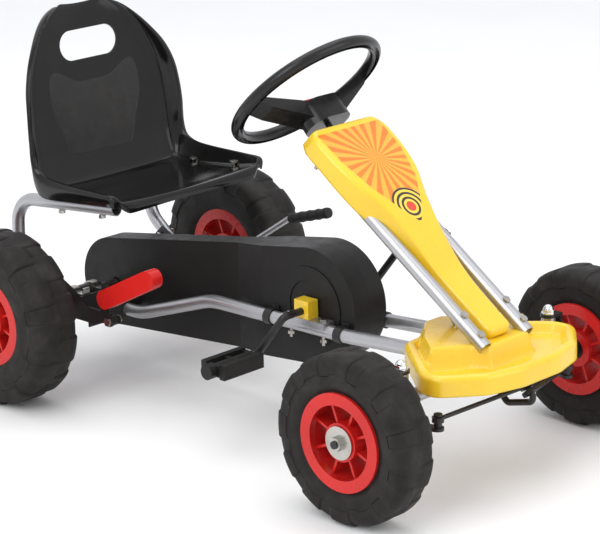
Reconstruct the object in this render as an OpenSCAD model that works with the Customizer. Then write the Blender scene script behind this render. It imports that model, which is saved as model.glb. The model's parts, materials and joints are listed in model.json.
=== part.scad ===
// Pedal go kart for one child: tubular frame, bucket seat, chain driven rear axle,
// steered front wheels and two hand levers.
//
// Inside the modules x is measured forward from the rear axle, y to the kart's left and
// z up from the ground. The last section shifts everything so that the origin is the
// middle of the footprint.

/* [Overall] */
// distance between the rear axle and the front wheel centres
wheelbase = 783; // [760:1:830]
// distance between the middles of the two front tyres
front_track = 540; // [534:1:560]
// distance between the middles of the two rear tyres
rear_track = 536; // [528:1:560]

/* [Wheels] */
// outside diameter of a front tyre
front_wheel_d = 255; // [240:1:262]
// outside diameter of a rear tyre
rear_wheel_d = 284; // [260:1:290]
// width of a front tyre
front_tyre_w = 73; // [70:1:78]
// width of a rear tyre
rear_tyre_w = 91; // [84:1:95]
// outside diameter of the moulded rims
rim_d = 148; // [140:1:154]
// width of the moulded rims
rim_w = 70; // [66:1:70]
// number of ribs between hub and barrel
rib_count = 8; // [6:1:10]
// number of tread blocks on each shoulder
lug_count = 12; // [8:1:16]
// diameter of the front stub axles
stub_d = 12; // [10:0.5:12]

/* [Frame] */
// outside diameter of the frame and column tubes
tube_d = 22; // [20:0.5:24]
// wall thickness of the frame tubes
tube_wall = 2; // [1.5:0.1:2.5]
// distance between the middles of the two main tubes
main_gauge = 100; // [100:1:104]
// distance between the middles of the two seat tubes
seat_gauge = 300; // [300:1:304]
// height of the level part of the main tubes
main_z = 171; // [170:0.5:173]

/* [Drive] */
// diameter of the rear axle
axle_d = 15; // [14:0.5:16]
// diameter of the bent crank rod
crank_d = 12; // [11:0.5:13]
// length of each crank arm
crank_len = 90; // [84:1:92]
// distance from the rear axle forward to the crank
crank_x = 478; // [472:1:482]
// height of the crank above the ground
crank_z = 200; // [199:0.5:201]
// teeth on the crank chain wheel
crank_teeth = 28; // [24:1:30]
// teeth on the rear axle chain wheel
axle_teeth = 14; // [12:1:16]
// length of a pedal across the kart
pedal_len = 86; // [76:1:90]
// length of a pedal along the kart
pedal_w = 50; // [44:1:56]

/* [Guard] */
// width of the chain guard at its raised middle
guard_w = 72; // [66:1:74]
// radius of the guard around the crank
guard_front_r = 95; // [88:1:98]
// radius of the guard around the rear axle
guard_rear_r = 76; // [70:1:82]
// thickness of the guard's moulded wall
guard_wall = 2.5; // [2:0.1:3.5]

/* [Steering] */
// diameter of the middle line of the steering wheel's ring
ring_d = 247; // [230:1:256]
// thickness of the steering wheel's ring
ring_t = 20; // [17:0.5:22]
// slope of the steering shaft from the horizontal
shaft_slope = 46; // [45.6:0.1:46]
// diameter of the steering shaft
shaft_d = 10; // [9:0.5:11]
// distance between the middles of the two column tubes
column_gauge = 98; // [98:1:102]
// slope of the column tubes from the horizontal
column_slope = 35.2; // [35:0.1:35.6]

/* [Seat] */
// width of the seat over its side bolsters
seat_w = 346; // [344:1:352]
// height of the seat's top edge above the ground
seat_top = 612; // [600:1:630]
// thickness of the seat's moulded shell
seat_wall = 4; // [3.5:0.5:4.5]
// length of the oval hole in the backrest
seat_hole_w = 126; // [110:1:134]
// height of the oval hole in the backrest
seat_hole_h = 50; // [44:1:56]

/* [Bodywork] */
// width of the front bumper over its wings
bumper_w = 326; // [318:1:330]
// thickness of the bumper's moulded wall
bumper_wall = 3; // [2.5:0.1:3.5]
// width of the fairing's face at its top
fairing_w = 160; // [152:1:166]
// thickness of the fairing's moulded wall
fairing_wall = 3; // [2.5:0.1:3.5]

/* [Hidden] */

$fn = 64;
fit = 0.3;
run = 0.06;
rear_r = rear_wheel_d / 2;
front_r = front_wheel_d / 2;
rear_axle_x = -(rear_r + wheelbase + front_r) / 2 + rear_r;
axle_z = rear_r;
tube_r = tube_d / 2;

black = [0.12, 0.11, 0.11];
gloss_black = [0.06, 0.06, 0.06];
matt_black = [0.17, 0.16, 0.15];
silver = [0.72, 0.72, 0.72];
zinc = [0.78, 0.76, 0.7];
red = [0.85, 0.13, 0.13];
yellow = [0.96, 0.82, 0.12];
dark_sheet = [0.2, 0.18, 0.17];

// ---------------------------------------------------------------- shared shapes

function unit(v) = v / norm(v);
function heading(v) = atan2(v[1], v[0]);
function turn(a, b) = let(t = heading(b) - heading(a)) t > 180 ? t - 360 : t < -180 ? t + 360 : t;
function leg(p, i) = p[i + 1] - p[i];
function cut(p, i, bend) = bend * tan(abs(turn(leg(p, i - 1), leg(p, i))) / 2);

module ring2d(r, bore) {
    difference() {
        circle(r = r);
        if (bore > 0) circle(r = bore);
    }
}

// A round rod or tube along the flat path p, with every corner bent to the radius bend.
// The straights run a little way into each bend, whose wall is a hair thicker.
lap = 0.5;
swell = 0.05;
module rod_path(p, r, bend, bore = 0) {
    n = len(p);
    for (i = [0 : n - 2]) {
        d = unit(leg(p, i));
        a = p[i] + d * (i > 0 ? cut(p, i, bend) - lap : 0);
        b = p[i + 1] - d * (i < n - 2 ? cut(p, i + 1, bend) - lap : 0);
        translate([a[0], a[1], 0])
            rotate([0, 0, heading(d)])
                rotate([0, 90, 0])
                    linear_extrude(norm(b - a)) ring2d(r, bore);
    }
    if (n > 2) for (i = [1 : n - 2]) {
        t = turn(leg(p, i - 1), leg(p, i));
        d = unit(leg(p, i - 1));
        side = t > 0 ? 1 : -1;
        start = p[i] - d * cut(p, i, bend);
        c = start + side * bend * [-d[1], d[0]];
        first = heading(start - c) + (t > 0 ? 0 : t);
        translate([c[0], c[1], 0])
            rotate([0, 0, first])
                rotate_extrude(angle = abs(t)) translate([bend, 0])
                    ring2d(r + swell, bore > 0 ? bore - swell : 0);
    }
}

// Puts a flat x-z drawing upright at the distance y from the middle plane.
module upright(y) {
    translate([0, y, 0]) rotate([90, 0, 0]) children();
}

// A plate t thick, centred on y, drawn in the x-z plane.
module plate(y, t) {
    upright(y + t / 2) linear_extrude(t) children();
}

// The outline that a belt makes around two circles; its straights lie a hair inside.
shy = 0.02;
module belt2d(c1, r1, c2, r2) {
    d = norm(c2 - c1);
    h = heading(c2 - c1);
    k = acos((r1 - r2) / d);
    translate(c1) circle(r = r1);
    translate(c2) circle(r = r2);
    polygon([for (q = [[c1, r1, k], [c2, r2, k], [c2, r2, -k], [c1, r1, -k]])
        q[0] + (q[1] - shy) * [cos(h + q[2]), sin(h + q[2])]]);
}

// The same outline as a solid bar of thickness h.
module belt3d(c1, r1, c2, r2, h) {
    d = norm(c2 - c1);
    k = acos((r1 - r2) / d);
    translate([c1[0], c1[1], 0]) rotate([0, 0, heading(c2 - c1)]) union() {
        cylinder(r = r1, h = h);
        translate([d, 0, 0]) cylinder(r = r2, h = h);
        linear_extrude(h) polygon([for (q = [[0, r1, k], [d, r2, k], [d, r2, -k], [0, r1, -k]])
            [q[0] + (q[1] - shy) * cos(q[2]), (q[1] - shy) * sin(q[2])]]);
    }
}

module slot2d(a, b, r) {
    belt2d(a, r, b, r);
}

module hex_nut(af, h) {
    cylinder(d = af / cos(30), h = h, $fn = 6);
}

// Points on a lying cylinder: the wheel modules draw along z and this turns them to y.
module wheel_at(x, y, z, side) {
    translate([x, y, z]) rotate([side > 0 ? -90 : 90, 0, 0]) children();
}

module both_sides() {
    children();
    mirror([0, 1, 0]) children();
}

// ---------------------------------------------------------------- wheels

barrel_r = rim_d / 2 - 9;
bead_r = barrel_r + fit;
hub_r = 29;
hub_half = 31;

// Half of the tyre's outer line, as [radius, offset from the middle].
function tyre_line(r, w) = [
    [bead_r, rim_w / 2 - 5 - fit], [rim_d / 2 + 1, rim_w / 2 - 5 - fit],
    [rim_d / 2 + 4, w * 0.42], [rim_d / 2 + 11, w * 0.462], [r - 30, w * 0.472],
    [r - 19, w * 0.455], [r - 11, w * 0.41], [r - 7, w * 0.33], [r - 5, w * 0.2], [r - 4.6, 0]];
function tyre_inner(r, w) = [
    [r - 13, 0], [r - 14, w * 0.2], [r - 17, w * 0.31], [r - 25, w * 0.37],
    [rim_d / 2 + 10, w * 0.37], [rim_d / 2 + 3, w * 0.3], [bead_r, w * 0.27]];
function flipped(p) = [for (i = [len(p) - 1 : -1 : 0]) [p[i][0], -p[i][1]]];

module tyre_section(r, w) {
    o = tyre_line(r, w);
    i = tyre_inner(r, w);
    polygon(concat(o, [for (k = [1 : len(o) - 1]) flipped(o)[k]],
        flipped(i), [for (k = [1 : len(i) - 1]) i[k]]));
}

// One raised block: it wraps from the tread over the shoulder.
module lug_section(r, w) {
    polygon([[r - 9, 4], [r, 4], [r, w * 0.3], [r - 4, w * 0.4], [r - 12, w * 0.475],
        [r - 24, w * 0.5], [r - 27, w * 0.47], [r - 20, w * 0.42], [r - 12, w * 0.35]]);
}

module tyre(r, w) {
    pitch = 360 / lug_count;
    color(black) {
        union() {
            rotate_extrude() tyre_section(r, w);
            for (i = [0 : lug_count - 1]) {
                rotate([0, 0, i * pitch])
                    rotate_extrude(angle = pitch * 0.62) lug_section(r, w);
                rotate([0, 0, (i + 0.5) * pitch])
                    rotate_extrude(angle = pitch * 0.62) mirror([0, 1]) lug_section(r, w);
            }
        }
    }
}

module rim(bore_r) {
    color(red)
        difference() {
            union() {
                rotate_extrude() polygon([[barrel_r - 6, -20], [barrel_r - 9, -rim_w / 2],
                    [rim_d / 2, -rim_w / 2], [rim_d / 2, -rim_w / 2 + 5],
                    [barrel_r, -rim_w / 2 + 5], [barrel_r, rim_w / 2 - 5],
                    [rim_d / 2, rim_w / 2 - 5], [rim_d / 2, rim_w / 2],
                    [barrel_r - 9, rim_w / 2], [barrel_r - 6, 20]]);
                cylinder(r = hub_r, h = 2 * hub_half, center = true);
                for (i = [0 : rib_count - 1])
                    rotate([0, 0, (i + 0.5) * 360 / rib_count])
                        translate([hub_r - 3, -2, -24]) cube([barrel_r - hub_r - 1, 4, 48]);
            }
            cylinder(r = bore_r, h = 2 * hub_half + 2, center = true);
        }
}

module front_rim(side) {
    wheel_at(wheelbase, side * front_track / 2, front_r, side)
        difference() {
            rim(stub_d / 2 + 5);
            color(red) for (s = [-1, 1])
                translate([0, 0, s * (hub_half - 1)])
                    cylinder(r = bush_flange_r + fit, h = 2.01, center = true);
        }
}

module rear_rim(side) {
    wheel_at(0, side * rear_track / 2, axle_z, side) rim(axle_d / 2 + run);
}

module front_tyre(side) {
    wheel_at(wheelbase, side * front_track / 2, front_r, side) tyre(front_r, front_tyre_w);
}

module rear_tyre(side) {
    wheel_at(0, side * rear_track / 2, axle_z, side) tyre(rear_r, rear_tyre_w);
}

// Two flanged bushes pressed into a front hub.
bush_flange_r = 16;
module front_bushes(side) {
    color(matt_black)
        wheel_at(wheelbase, side * front_track / 2, front_r, side)
            for (s = [0, 1]) mirror([0, 0, s])
                difference() {
                    union() {
                        translate([0, 0, hub_half - 22]) cylinder(r = stub_d / 2 + 5 - 0.02, h = 22);
                        translate([0, 0, hub_half - 1.95]) cylinder(r = bush_flange_r, h = 3);
                    }
                    translate([0, 0, hub_half - 23]) cylinder(r = stub_d / 2 + run, h = 26);
                }
}

washer_t = 2;
hub_face = hub_half + 1.05;
// Plain washer and hexagon nut at the end of a stub or axle of diameter d.
module washer_nut(d, gap, washer_r) {
    color(zinc) {
        translate([0, 0, gap])
            linear_extrude(washer_t) ring2d(washer_r, d / 2 + 0.05);
        translate([0, 0, gap + washer_t + 0.02])
            difference() {
                hex_nut(19, 8);
                translate([0, 0, -1]) cylinder(d = d + 0.1, h = 10);
            }
    }
}

module front_nut(side) {
    wheel_at(wheelbase, side * front_track / 2, front_r, side)
        washer_nut(stub_d, hub_face + fit, 25);
}

// ---------------------------------------------------------------- front axle

king_y = 171;
king_x = wheelbase + 1;
king_d = 10;
beam_z = 155.5;
post_r = 11;
post_lo = 122;
post_hi = 198;
beam_end = king_y - post_r + 3;

module front_beam() {
    color(silver)
        difference() {
            union() {
                translate([king_x, 0, beam_z]) rotate([90, 0, 0])
                    cylinder(r = tube_r, h = 2 * beam_end, center = true);
                both_sides() translate([king_x, king_y, post_lo])
                    cylinder(r = post_r, h = post_hi - post_lo);
            }
            translate([king_x, 0, beam_z]) rotate([90, 0, 0])
                cylinder(r = tube_r - tube_wall, h = 2 * beam_end - 12, center = true);
            both_sides() translate([king_x, king_y, post_lo - 1])
                cylinder(d = king_d + 2 * run, h = post_hi - post_lo + 2);
        }
}

// Knuckle: a bent strap around the kingpin post, the stub axle and the steering arm.
strap_t = 5;
strap_hi = post_hi + 0.4;
strap_lo = post_lo - 0.4 - strap_t;
strap_y = king_y + post_r + 3;
stub_end = front_track / 2 + hub_half + 14;
arm_x = king_x + 53;
arm_y = king_y - 20;
stud_r = 4;
rod_lift = 12;
rod_z = strap_lo + strap_t + rod_lift;
eye_half = 4;

module knuckle() {
    color(matt_black)
        difference() {
            union() {
                translate([king_x - 13, king_y, strap_hi]) cube([26, strap_y - king_y + 4, strap_t]);
                translate([king_x - 13, king_y, strap_lo]) cube([26, strap_y - king_y + 4, strap_t]);
                translate([king_x, king_y, strap_hi]) cylinder(r = 13, h = strap_t);
                translate([king_x, king_y, strap_lo]) cylinder(r = 13, h = strap_t);
                translate([king_x - 13, strap_y, strap_lo])
                    cube([26, strap_t, strap_hi - strap_lo + strap_t]);
                translate([0, 0, strap_lo]) linear_extrude(strap_t)
                    slot2d([king_x, king_y], [arm_x, arm_y], 9);
                translate([arm_x, arm_y, strap_lo]) cylinder(r = 6, h = strap_t + rod_lift - eye_half - fit);
                translate([arm_x, arm_y, strap_lo]) cylinder(r = stud_r, h = strap_t + rod_lift + 8);
                translate([arm_x, arm_y, rod_z + eye_half + 1.5]) cylinder(r = 6.5, h = 3);
                translate([wheelbase, strap_y + 1, front_r]) rotate([-90, 0, 0])
                    cylinder(d = stub_d, h = stub_end - strap_y - 1);
                translate([wheelbase, strap_y + strap_t - 1, front_r]) rotate([-90, 0, 0])
                    cylinder(r = stub_d / 2 + 4, h = front_track / 2 - hub_face - strap_y - strap_t + 0.6);
            }
            translate([king_x, king_y, strap_lo - 1])
                cylinder(d = king_d + 0.2, h = strap_hi - strap_lo + 20);
        }
}

// Kingpin bolts, each with a domed chrome nut on top.
module kingpins() {
    color(silver)
        both_sides() translate([king_x, king_y, 0]) {
            translate([0, 0, strap_lo - 0.3 - 6]) hex_nut(17, 6);
            translate([0, 0, strap_lo - 1]) cylinder(d = king_d, h = strap_hi - strap_lo + strap_t + 6);
            translate([0, 0, strap_hi + strap_t + 0.3]) cylinder(r = 11, h = 2);
            translate([0, 0, strap_hi + strap_t + 2]) hex_nut(17, 5);
            translate([0, 0, strap_hi + strap_t + 6]) intersection() {
                sphere(r = 8.4);
                translate([0, 0, 10]) cube(20, center = true);
            }
        }
}

// ---------------------------------------------------------------- steering

wheel_x = 440;
wheel_z = 536;
shaft_dir = [cos(shaft_slope), -sin(shaft_slope)];
shaft_up = [sin(shaft_slope), cos(shaft_slope)];
// Point on the steering axis at the distance t below the ring's middle.
function on_shaft(t) = [wheel_x, wheel_z] + t * shaft_dir;
shaft_end = 580;
crank_reach = 50.4;
crank_rod_low = on_shaft(shaft_end) + crank_reach * shaft_up + 29 * shaft_dir;
crank_pin_top = crank_rod_low - 34 * shaft_dir;

// Turns a part drawn along z, with the driver above, on to the steering axis.
module on_axis(t) {
    p = on_shaft(t);
    translate([p[0], 0, p[1]]) rotate([0, shaft_slope - 90, 0]) children();
}

hub_top = -28;
hub_bottom = -66;
module steering_wheel() {
    spoke_w = 36;
    color(gloss_black)
        on_axis(0)
            difference() {
                union() {
                    rotate_extrude() translate([ring_d / 2, 0])
                        difference() {
                            circle(d = ring_t);
                            translate([0, -ring_t / 2]) square([ring_t * 0.36, ring_t * 0.62], center = true);
                        }
                    translate([0, 0, hub_bottom]) linear_extrude(hub_top - hub_bottom)
                        slot2d([0, -14], [0, 14], 28);
                    both_sides() rotate([90, 0, 90]) translate([0, 0, -spoke_w / 2])
                        linear_extrude(spoke_w)
                            polygon([[24, hub_top], [ring_d / 2 - 4, 2], [ring_d / 2 - 1, -5],
                                [ring_d / 2 - 22, -22], [30, hub_bottom + 8]]);
                }
                translate([0, 0, hub_bottom - 1]) cylinder(d = shaft_d + 0.1, h = 30);
                translate([0, 0, hub_top - 2]) linear_extrude(10) slot2d([0, -32], [0, 32], 14 + fit);
            }
}

module steering_cap() {
    color(red)
        on_axis(0) translate([0, 0, hub_top - 2 + 0.02]) {
            linear_extrude(7) slot2d([0, -32], [0, 32], 14);
            translate([0, 0, 7]) linear_extrude(1.5) slot2d([0, -31], [0, 31], 12.5);
        }
}

module steering_shaft() {
    color(black)
        upright(0)
            rod_path([on_shaft(38), on_shaft(shaft_end), crank_rod_low, crank_pin_top], shaft_d / 2, 9);
}

// Tie rod: an eye on the knuckle's stud and a wide eye around the crank pin, whose middle
// lies a little off the pin because the pin swings round an arc.
rod_r = 3.5;
eye_slack = 3;
eye_wall = 4;
eye_drop = 0.9;
eye_side = -1.25;
module tie_rod(side, along) {
    pin = crank_rod_low - along * shaft_dir - eye_drop * shaft_up;
    pin_y = side * eye_side;
    a = [arm_x, side * arm_y, rod_z];
    c = [pin[0], pin_y + side * (shaft_d / 2 + eye_slack + 1), pin[1]];
    d = c - a;
    color(black)
        difference() {
            union() {
                translate([a[0], a[1], a[2] - eye_half]) cylinder(r = 9, h = 2 * eye_half);
                translate([pin[0], pin_y, pin[1]]) rotate([0, shaft_slope - 90, 0])
                    cylinder(r = shaft_d / 2 + eye_slack + eye_wall, h = 6, center = true);
                translate(a) rotate([0, acos(d[2] / norm(d)), atan2(d[1], d[0])])
                    translate([0, 0, 6]) cylinder(r = rod_r, h = norm(d) - 6);
            }
            translate([a[0], a[1], a[2] - 9]) cylinder(r = stud_r + run, h = 18);
            translate([pin[0], pin_y, pin[1]]) rotate([0, shaft_slope - 90, 0])
                cylinder(r = shaft_d / 2 + eye_slack, h = 20, center = true);
        }
}

// ---------------------------------------------------------------- column

column_y = column_gauge / 2;
column_low = [841, 216];
column_dir = [-cos(column_slope), sin(column_slope)];
column_up = [sin(column_slope), cos(column_slope)];
column_len = 424;
function on_column(t) = column_low + t * column_dir;

module column_tube(side) {
    color(silver)
        difference() {
            upright(side * column_y) rod_path([on_column(0), on_column(column_len)], tube_r, 0, tube_r - tube_wall);
            for (t = column_bolts) let(p = on_column(t))
                translate([p[0], side * column_y, p[1]]) rotate([0, column_slope, 0])
                    cylinder(r = screw_r + 0.2, h = 60, center = true);
        }
}

screw_r = 3;
column_bolts = [18, 58, column_len - 24];

// Screws through the tube ends into the bumper, and through the tops into the head bracket.
module column_screws() {
    color(zinc)
        both_sides() for (t = column_bolts) let(p = on_column(t) + tube_r * column_up,
            lift = t > 100 ? fit + head_sheet : 0)
            translate([p[0], column_y, p[1]]) rotate([0, column_slope, 0]) {
                translate([0, 0, lift + 0.2]) cylinder(r = 6, h = 2.5);
                translate([0, 0, -tube_d - 7]) cylinder(r = screw_r, h = tube_d + 8 + lift);
            }
}

bush_t = [108, 540];
housing_r = 11;
head_sheet = 4;
// Upper bracket: a plate across the column tubes that carries the shaft's upper housing.
module head_bracket() {
    p = on_column(column_len - 24) + (tube_r + fit) * column_up;
    color(dark_sheet)
        difference() {
            union() {
                translate([p[0], 0, p[1]]) rotate([0, column_slope, 0])
                    translate([-18, -column_y - 10, 0]) cube([36, column_gauge + 20, head_sheet]);
                on_axis(bush_t[0]) cylinder(r = housing_r, h = 26, center = true);
            }
            on_axis(bush_t[0]) cylinder(r = shaft_d / 2 + 3, h = 60, center = true);
            both_sides() translate([p[0], column_y, p[1]]) rotate([0, column_slope, 0])
                cylinder(r = screw_r + 0.2, h = 30, center = true);
        }
}

// Lower bracket: reaches forward from the front beam to the shaft's lower housing.
module foot_bracket() {
    p = on_shaft(bush_t[1]);
    color(dark_sheet)
        difference() {
            union() {
                on_axis(bush_t[1]) cylinder(r = housing_r - 1.5, h = 16, center = true);
                plate(0, 24) polygon([[king_x + 8, beam_z - 7], [king_x + 8, beam_z + 3],
                    [p[0] - 9, p[1] - 4], [p[0] - 3, p[1] - 9.5]]);
            }
            on_axis(bush_t[1]) cylinder(r = shaft_d / 2 + 2, h = 40, center = true);
            translate([king_x, 0, beam_z]) rotate([90, 0, 0]) cylinder(r = tube_r + fit, h = 60, center = true);
        }
}

module shaft_bushes() {
    color(matt_black) {
        on_axis(bush_t[0]) linear_extrude(26, center = true) ring2d(shaft_d / 2 + 3 - 0.03, shaft_d / 2 + run);
        on_axis(bush_t[1]) linear_extrude(16, center = true) ring2d(shaft_d / 2 + 2 - 0.03, shaft_d / 2 + run);
    }
}

// Upper fairing: a moulded tray over the column, wide at the top and a rounded trunk below.
face_line = [[522, 494], [566, 463], [613, 427], [652, 392], [690, 352], [741, 300], [826, 238]];
skirt_line = [[805, 222], [741, 268], [690, 306], [644, 346], [604, 384], [552, 432], [500, 470]];
face_half = fairing_w / 2;

module fairing_side(in, drop) {
    polygon([for (p = face_line) p - [in, in], for (p = skirt_line) p - [drop, drop]]);
}

module fairing_plan(in) {
    polygon([for (s = [1, -1]) for (i = [0 : 8]) let(k = s > 0 ? i : 8 - i,
        p = [[490, face_half - 5], [515, face_half], [566, face_half], [613, face_half - 12],
            [652, face_half - 34], [690, face_half - 47], [741, face_half - 52],
            [818, face_half - 54], [840, face_half - 66]][k]) [p[0] - in * 0.6, s * (p[1] - in)]]);
}

module fairing() {
    color(yellow)
        difference() {
            intersection() {
                upright(face_half + 20) linear_extrude(fairing_w + 40) fairing_side(0, 0);
                linear_extrude(600) fairing_plan(0);
            }
            intersection() {
                upright(face_half + 20) linear_extrude(fairing_w + 40) fairing_side(fairing_wall, 40);
                linear_extrude(600) fairing_plan(fairing_wall);
            }
            both_sides() upright(column_y)
                rod_path([on_column(-40), on_column(column_len + 40)], tube_r + fit, 0);
            on_axis(100) cylinder(r = shaft_d / 2 + 4, h = 120, center = true);
        }
}

// Bumper: a saddle over the beam that runs out into a rounded wing on each side.
bump_lo = 170;
saddle_hi = 220;
wing_hi = 201;
deck_hi = 187;
wing_half = bumper_w / 2;
bump_front = 909;

module wing2d(in) {
    r = 24 - in;
    t = wing_half - 24;
    both_halves2d() {
        slot2d([bump_front - 24, 40], [bump_front - 38, 92], r);
        slot2d([bump_front - 38, 92], [bump_front - 77, t], r);
        polygon([[700, 0], [700, 60], [bump_front - 95, t + 18 - in], [bump_front - 77, t],
            [bump_front - 38, 92], [bump_front - 24, 40], [bump_front - 24, 0]]);
        translate([800, 0]) square([bump_front - 800 - in, 44]);
    }
}

module both_halves2d() {
    children();
    mirror([0, 1]) children();
}

module saddle2d(in) {
    both_halves2d() {
        slot2d([696, 12], [744, 74], 16 - in);
        slot2d([744, 74], [786, 118], 24 - in);
        polygon([[680 + in, 0], [696, 12], [744, 74], [786, 118], [800 - in, 118], [842 - in, 60], [842 - in, 0]]);
        slot2d([786, 118], [818, 60], 24 - in);
    }
}

module bumper() {
    color(yellow)
        difference() {
            union() {
                translate([0, 0, bump_lo]) linear_extrude(wing_hi - bump_lo) wing2d(0);
                translate([0, 0, bump_lo]) linear_extrude(saddle_hi - bump_lo) saddle2d(0);
            }
            translate([0, 0, deck_hi]) linear_extrude(60) difference() {
                wing2d(20);
                saddle2d(0);
            }
            translate([0, 0, bump_lo - 1]) linear_extrude(deck_hi - bumper_wall - bump_lo + 1) wing2d(bumper_wall);
            translate([0, 0, bump_lo - 1]) linear_extrude(saddle_hi - bumper_wall - bump_lo + 1) saddle2d(bumper_wall);
            both_sides() upright(main_gauge / 2) rod_path(main_path, tube_r + 1, 120);
            both_sides() upright(column_y) rod_path([on_column(0), on_column(200)], tube_r + fit, 0);
            on_axis(500) cylinder(r = shaft_d / 2 + 5, h = 200, center = true);
            on_axis(bush_t[1]) cylinder(r = housing_r + 1, h = 20, center = true);
            both_sides() for (t = [column_bolts[0], column_bolts[1]]) let(p = on_column(t))
                translate([p[0], column_y, p[1]]) rotate([0, column_slope, 0])
                    cylinder(r = screw_r + 0.1, h = 80, center = true);
        }
}

// ---------------------------------------------------------------- main frame

main_y = main_gauge / 2;
main_tail = 60;
main_end = king_x + 16;
main_low = 114;
main_path = [[main_tail, main_low], [94.5, main_low], [265, main_z], [560, main_z + 3.5],
    [main_end, main_z + 19.5]];
cross_lo = 115.5;
cross_hi = 151;
cross_x = 34.5;

module main_tube(side) {
    color(silver)
        difference() {
            upright(side * main_y) rod_path(main_path, tube_r, 120, tube_r - tube_wall);
            for (x = block_bolts)
                translate([x, side * main_y, main_z]) cylinder(r = 3.2, h = 60, center = true);
        }
}

module beam_saddles() {
    color(dark_sheet)
        both_sides() translate([king_x - 11, main_y - 9, beam_z])
            difference() {
                cube([22, 18, 31]);
                translate([11, 9, 0]) rotate([90, 0, 0]) cylinder(r = tube_r + fit, h = 30, center = true);
                translate([-king_x + 11, 9, -beam_z]) rotate([90, 0, 0])
                    rod_path(main_path, tube_r + fit, 120);
            }
}

// Rear cross member: a sloped sheet channel with an end plate on each side. It passes
// between the two runs of the chain.
sheet = 3;
end_y = 135.5;
cross_face = main_tail - fit;
module rear_cross() {
    color(dark_sheet)
        difference() {
            union() {
                upright(end_y) linear_extrude(2 * end_y) polygon([[cross_x, cross_hi],
                    [cross_x + 4, cross_hi], [cross_face, cross_lo + 10], [cross_face, cross_lo],
                    [cross_face - sheet, cross_lo], [cross_face - sheet, cross_lo + 9],
                    [cross_x + sheet, cross_hi - 4], [cross_x + sheet, cross_lo], [cross_x, cross_lo]]);
                both_sides() translate([cross_face - sheet, guard_half + 1, main_low - tube_r])
                    cube([sheet, end_y - guard_half, cross_lo + 8 - main_low + tube_r]);
                both_sides() plate(end_y + sheet / 2, sheet) polygon([[-70, 181], [-52, 198],
                    [20, 164], [40, 152], [60, 139], [136, 139], [139, 126], [62, 112],
                    [18, 112], [-20, 124], [-56, 158]]);
                both_sides() translate([lever_px, end_y + sheet - 1, lever_pz]) rotate([-90, 0, 0])
                    cylinder(r = 8, h = 1.01);
            }
            translate([0, 0, axle_z]) rotate([90, 0, 0])
                cylinder(r = axle_d / 2 + 1, h = 400, center = true);
            both_sides() for (p = seat_tube_bolts) translate([p[0], 0, p[1]]) rotate([-90, 0, 0])
                cylinder(r = 3.1, h = 400);
            both_sides() translate([lever_px, 0, lever_pz]) rotate([-90, 0, 0])
                cylinder(r = 4.1, h = 400);
        }
}

// Black sleeves that carry the rear axle.
sleeve_r = 14;
sleeve_in = 64;
module axle_sleeve(side) {
    color(black)
        wheel_at(0, side * sleeve_in, axle_z, side)
            linear_extrude(end_y - sleeve_in - fit) ring2d(sleeve_r, axle_d / 2 + run);
}

// Straps that hold the sleeves to the rear face of the cross member.
clamp_y = [76, 118];
module sleeve_clamps() {
    color(zinc)
        both_sides() for (y = clamp_y) {
            plate(y, 14) difference() {
                union() {
                    translate([0, axle_z]) circle(r = sleeve_r + fit + 2.5);
                    translate([0, axle_z - 9]) square([cross_x - fit, 18]);
                }
                translate([0, axle_z]) circle(r = sleeve_r + fit);
            }
            translate([cross_x - fit - 2.5, y - 7, axle_z - 20]) cube([2.5, 14, 40]);
        }
}

// Seat tubes: from the end plates up behind the axle, then forward under the seat.
seat_y = seat_gauge / 2;
seat_path = [[-31, 161.5], [-96, 212.8], [-94, 302.8], [155.5, 326]];
seat_tube_bolts = [[-38, 167], [-56, 181.2]];
seat_bend = 50;
seat_slope = heading(seat_path[3] - seat_path[2]);
// The front end of each tube is reamed for a plug.
plug_depth = 30;
plug_r = tube_r - tube_wall + 0.3;
module seat_tube(side) {
    d = unit(seat_path[3] - seat_path[2]);
    color(silver)
        difference() {
            upright(side * seat_y) rod_path(seat_path, tube_r, seat_bend, tube_r - tube_wall);
            upright(side * seat_y) rod_path([seat_path[3] - plug_depth * d, seat_path[3] + d], plug_r, 0);
            for (p = seat_tube_bolts) translate([p[0], side * seat_y, p[1]]) rotate([90, 0, 0])
                cylinder(r = 3.1, h = 40, center = true);
            for (x = seat_bolt_x) translate([x, side * seat_y, 300]) cylinder(r = 3.2, h = 90, center = true);
        }
}

// ---------------------------------------------------------------- drive

axle_end = rear_track / 2 + hub_half + 15;
module rear_axle() {
    color(zinc)
        translate([0, 0, axle_z]) rotate([90, 0, 0]) cylinder(d = axle_d, h = 2 * axle_end, center = true);
}

module rear_nuts() {
    color(zinc) both_sides() {
        wheel_at(0, rear_track / 2, axle_z, 1) washer_nut(axle_d, hub_half + 0.05, 25);
        translate([0, rear_track / 2 - hub_half - 0.3, axle_z]) rotate([90, 0, 0])
            linear_extrude(rear_track / 2 - hub_half - 0.3 - end_y - sheet - 1.2) ring2d(axle_d / 2 + 4, axle_d / 2 + 0.05);
    }
}

pitch = 12.7;
module sprocket(teeth, bore, hub) {
    pr = pitch / (2 * sin(180 / teeth));
    color(zinc)
        difference() {
            union() {
                linear_extrude(3, center = true) {
                    circle(r = pr - 3.5);
                    for (i = [0 : teeth - 1]) rotate(i * 360 / teeth)
                        polygon([[pr - 5, -3.2], [pr + 3, -1.1], [pr + 3, 1.1], [pr - 5, 3.2]]);
                }
                cylinder(r = bore + 5, h = hub, center = true);
            }
            cylinder(r = bore + 0.05, h = hub + 2, center = true);
        }
}

module axle_sprocket() {
    translate([0, 0, axle_z]) rotate([90, 0, 0]) sprocket(axle_teeth, axle_d / 2, 24);
}

module crank_sprocket() {
    translate([crank_x, 0, crank_z]) rotate([90, 0, 0]) sprocket(crank_teeth, crank_d / 2, 24);
}

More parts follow.
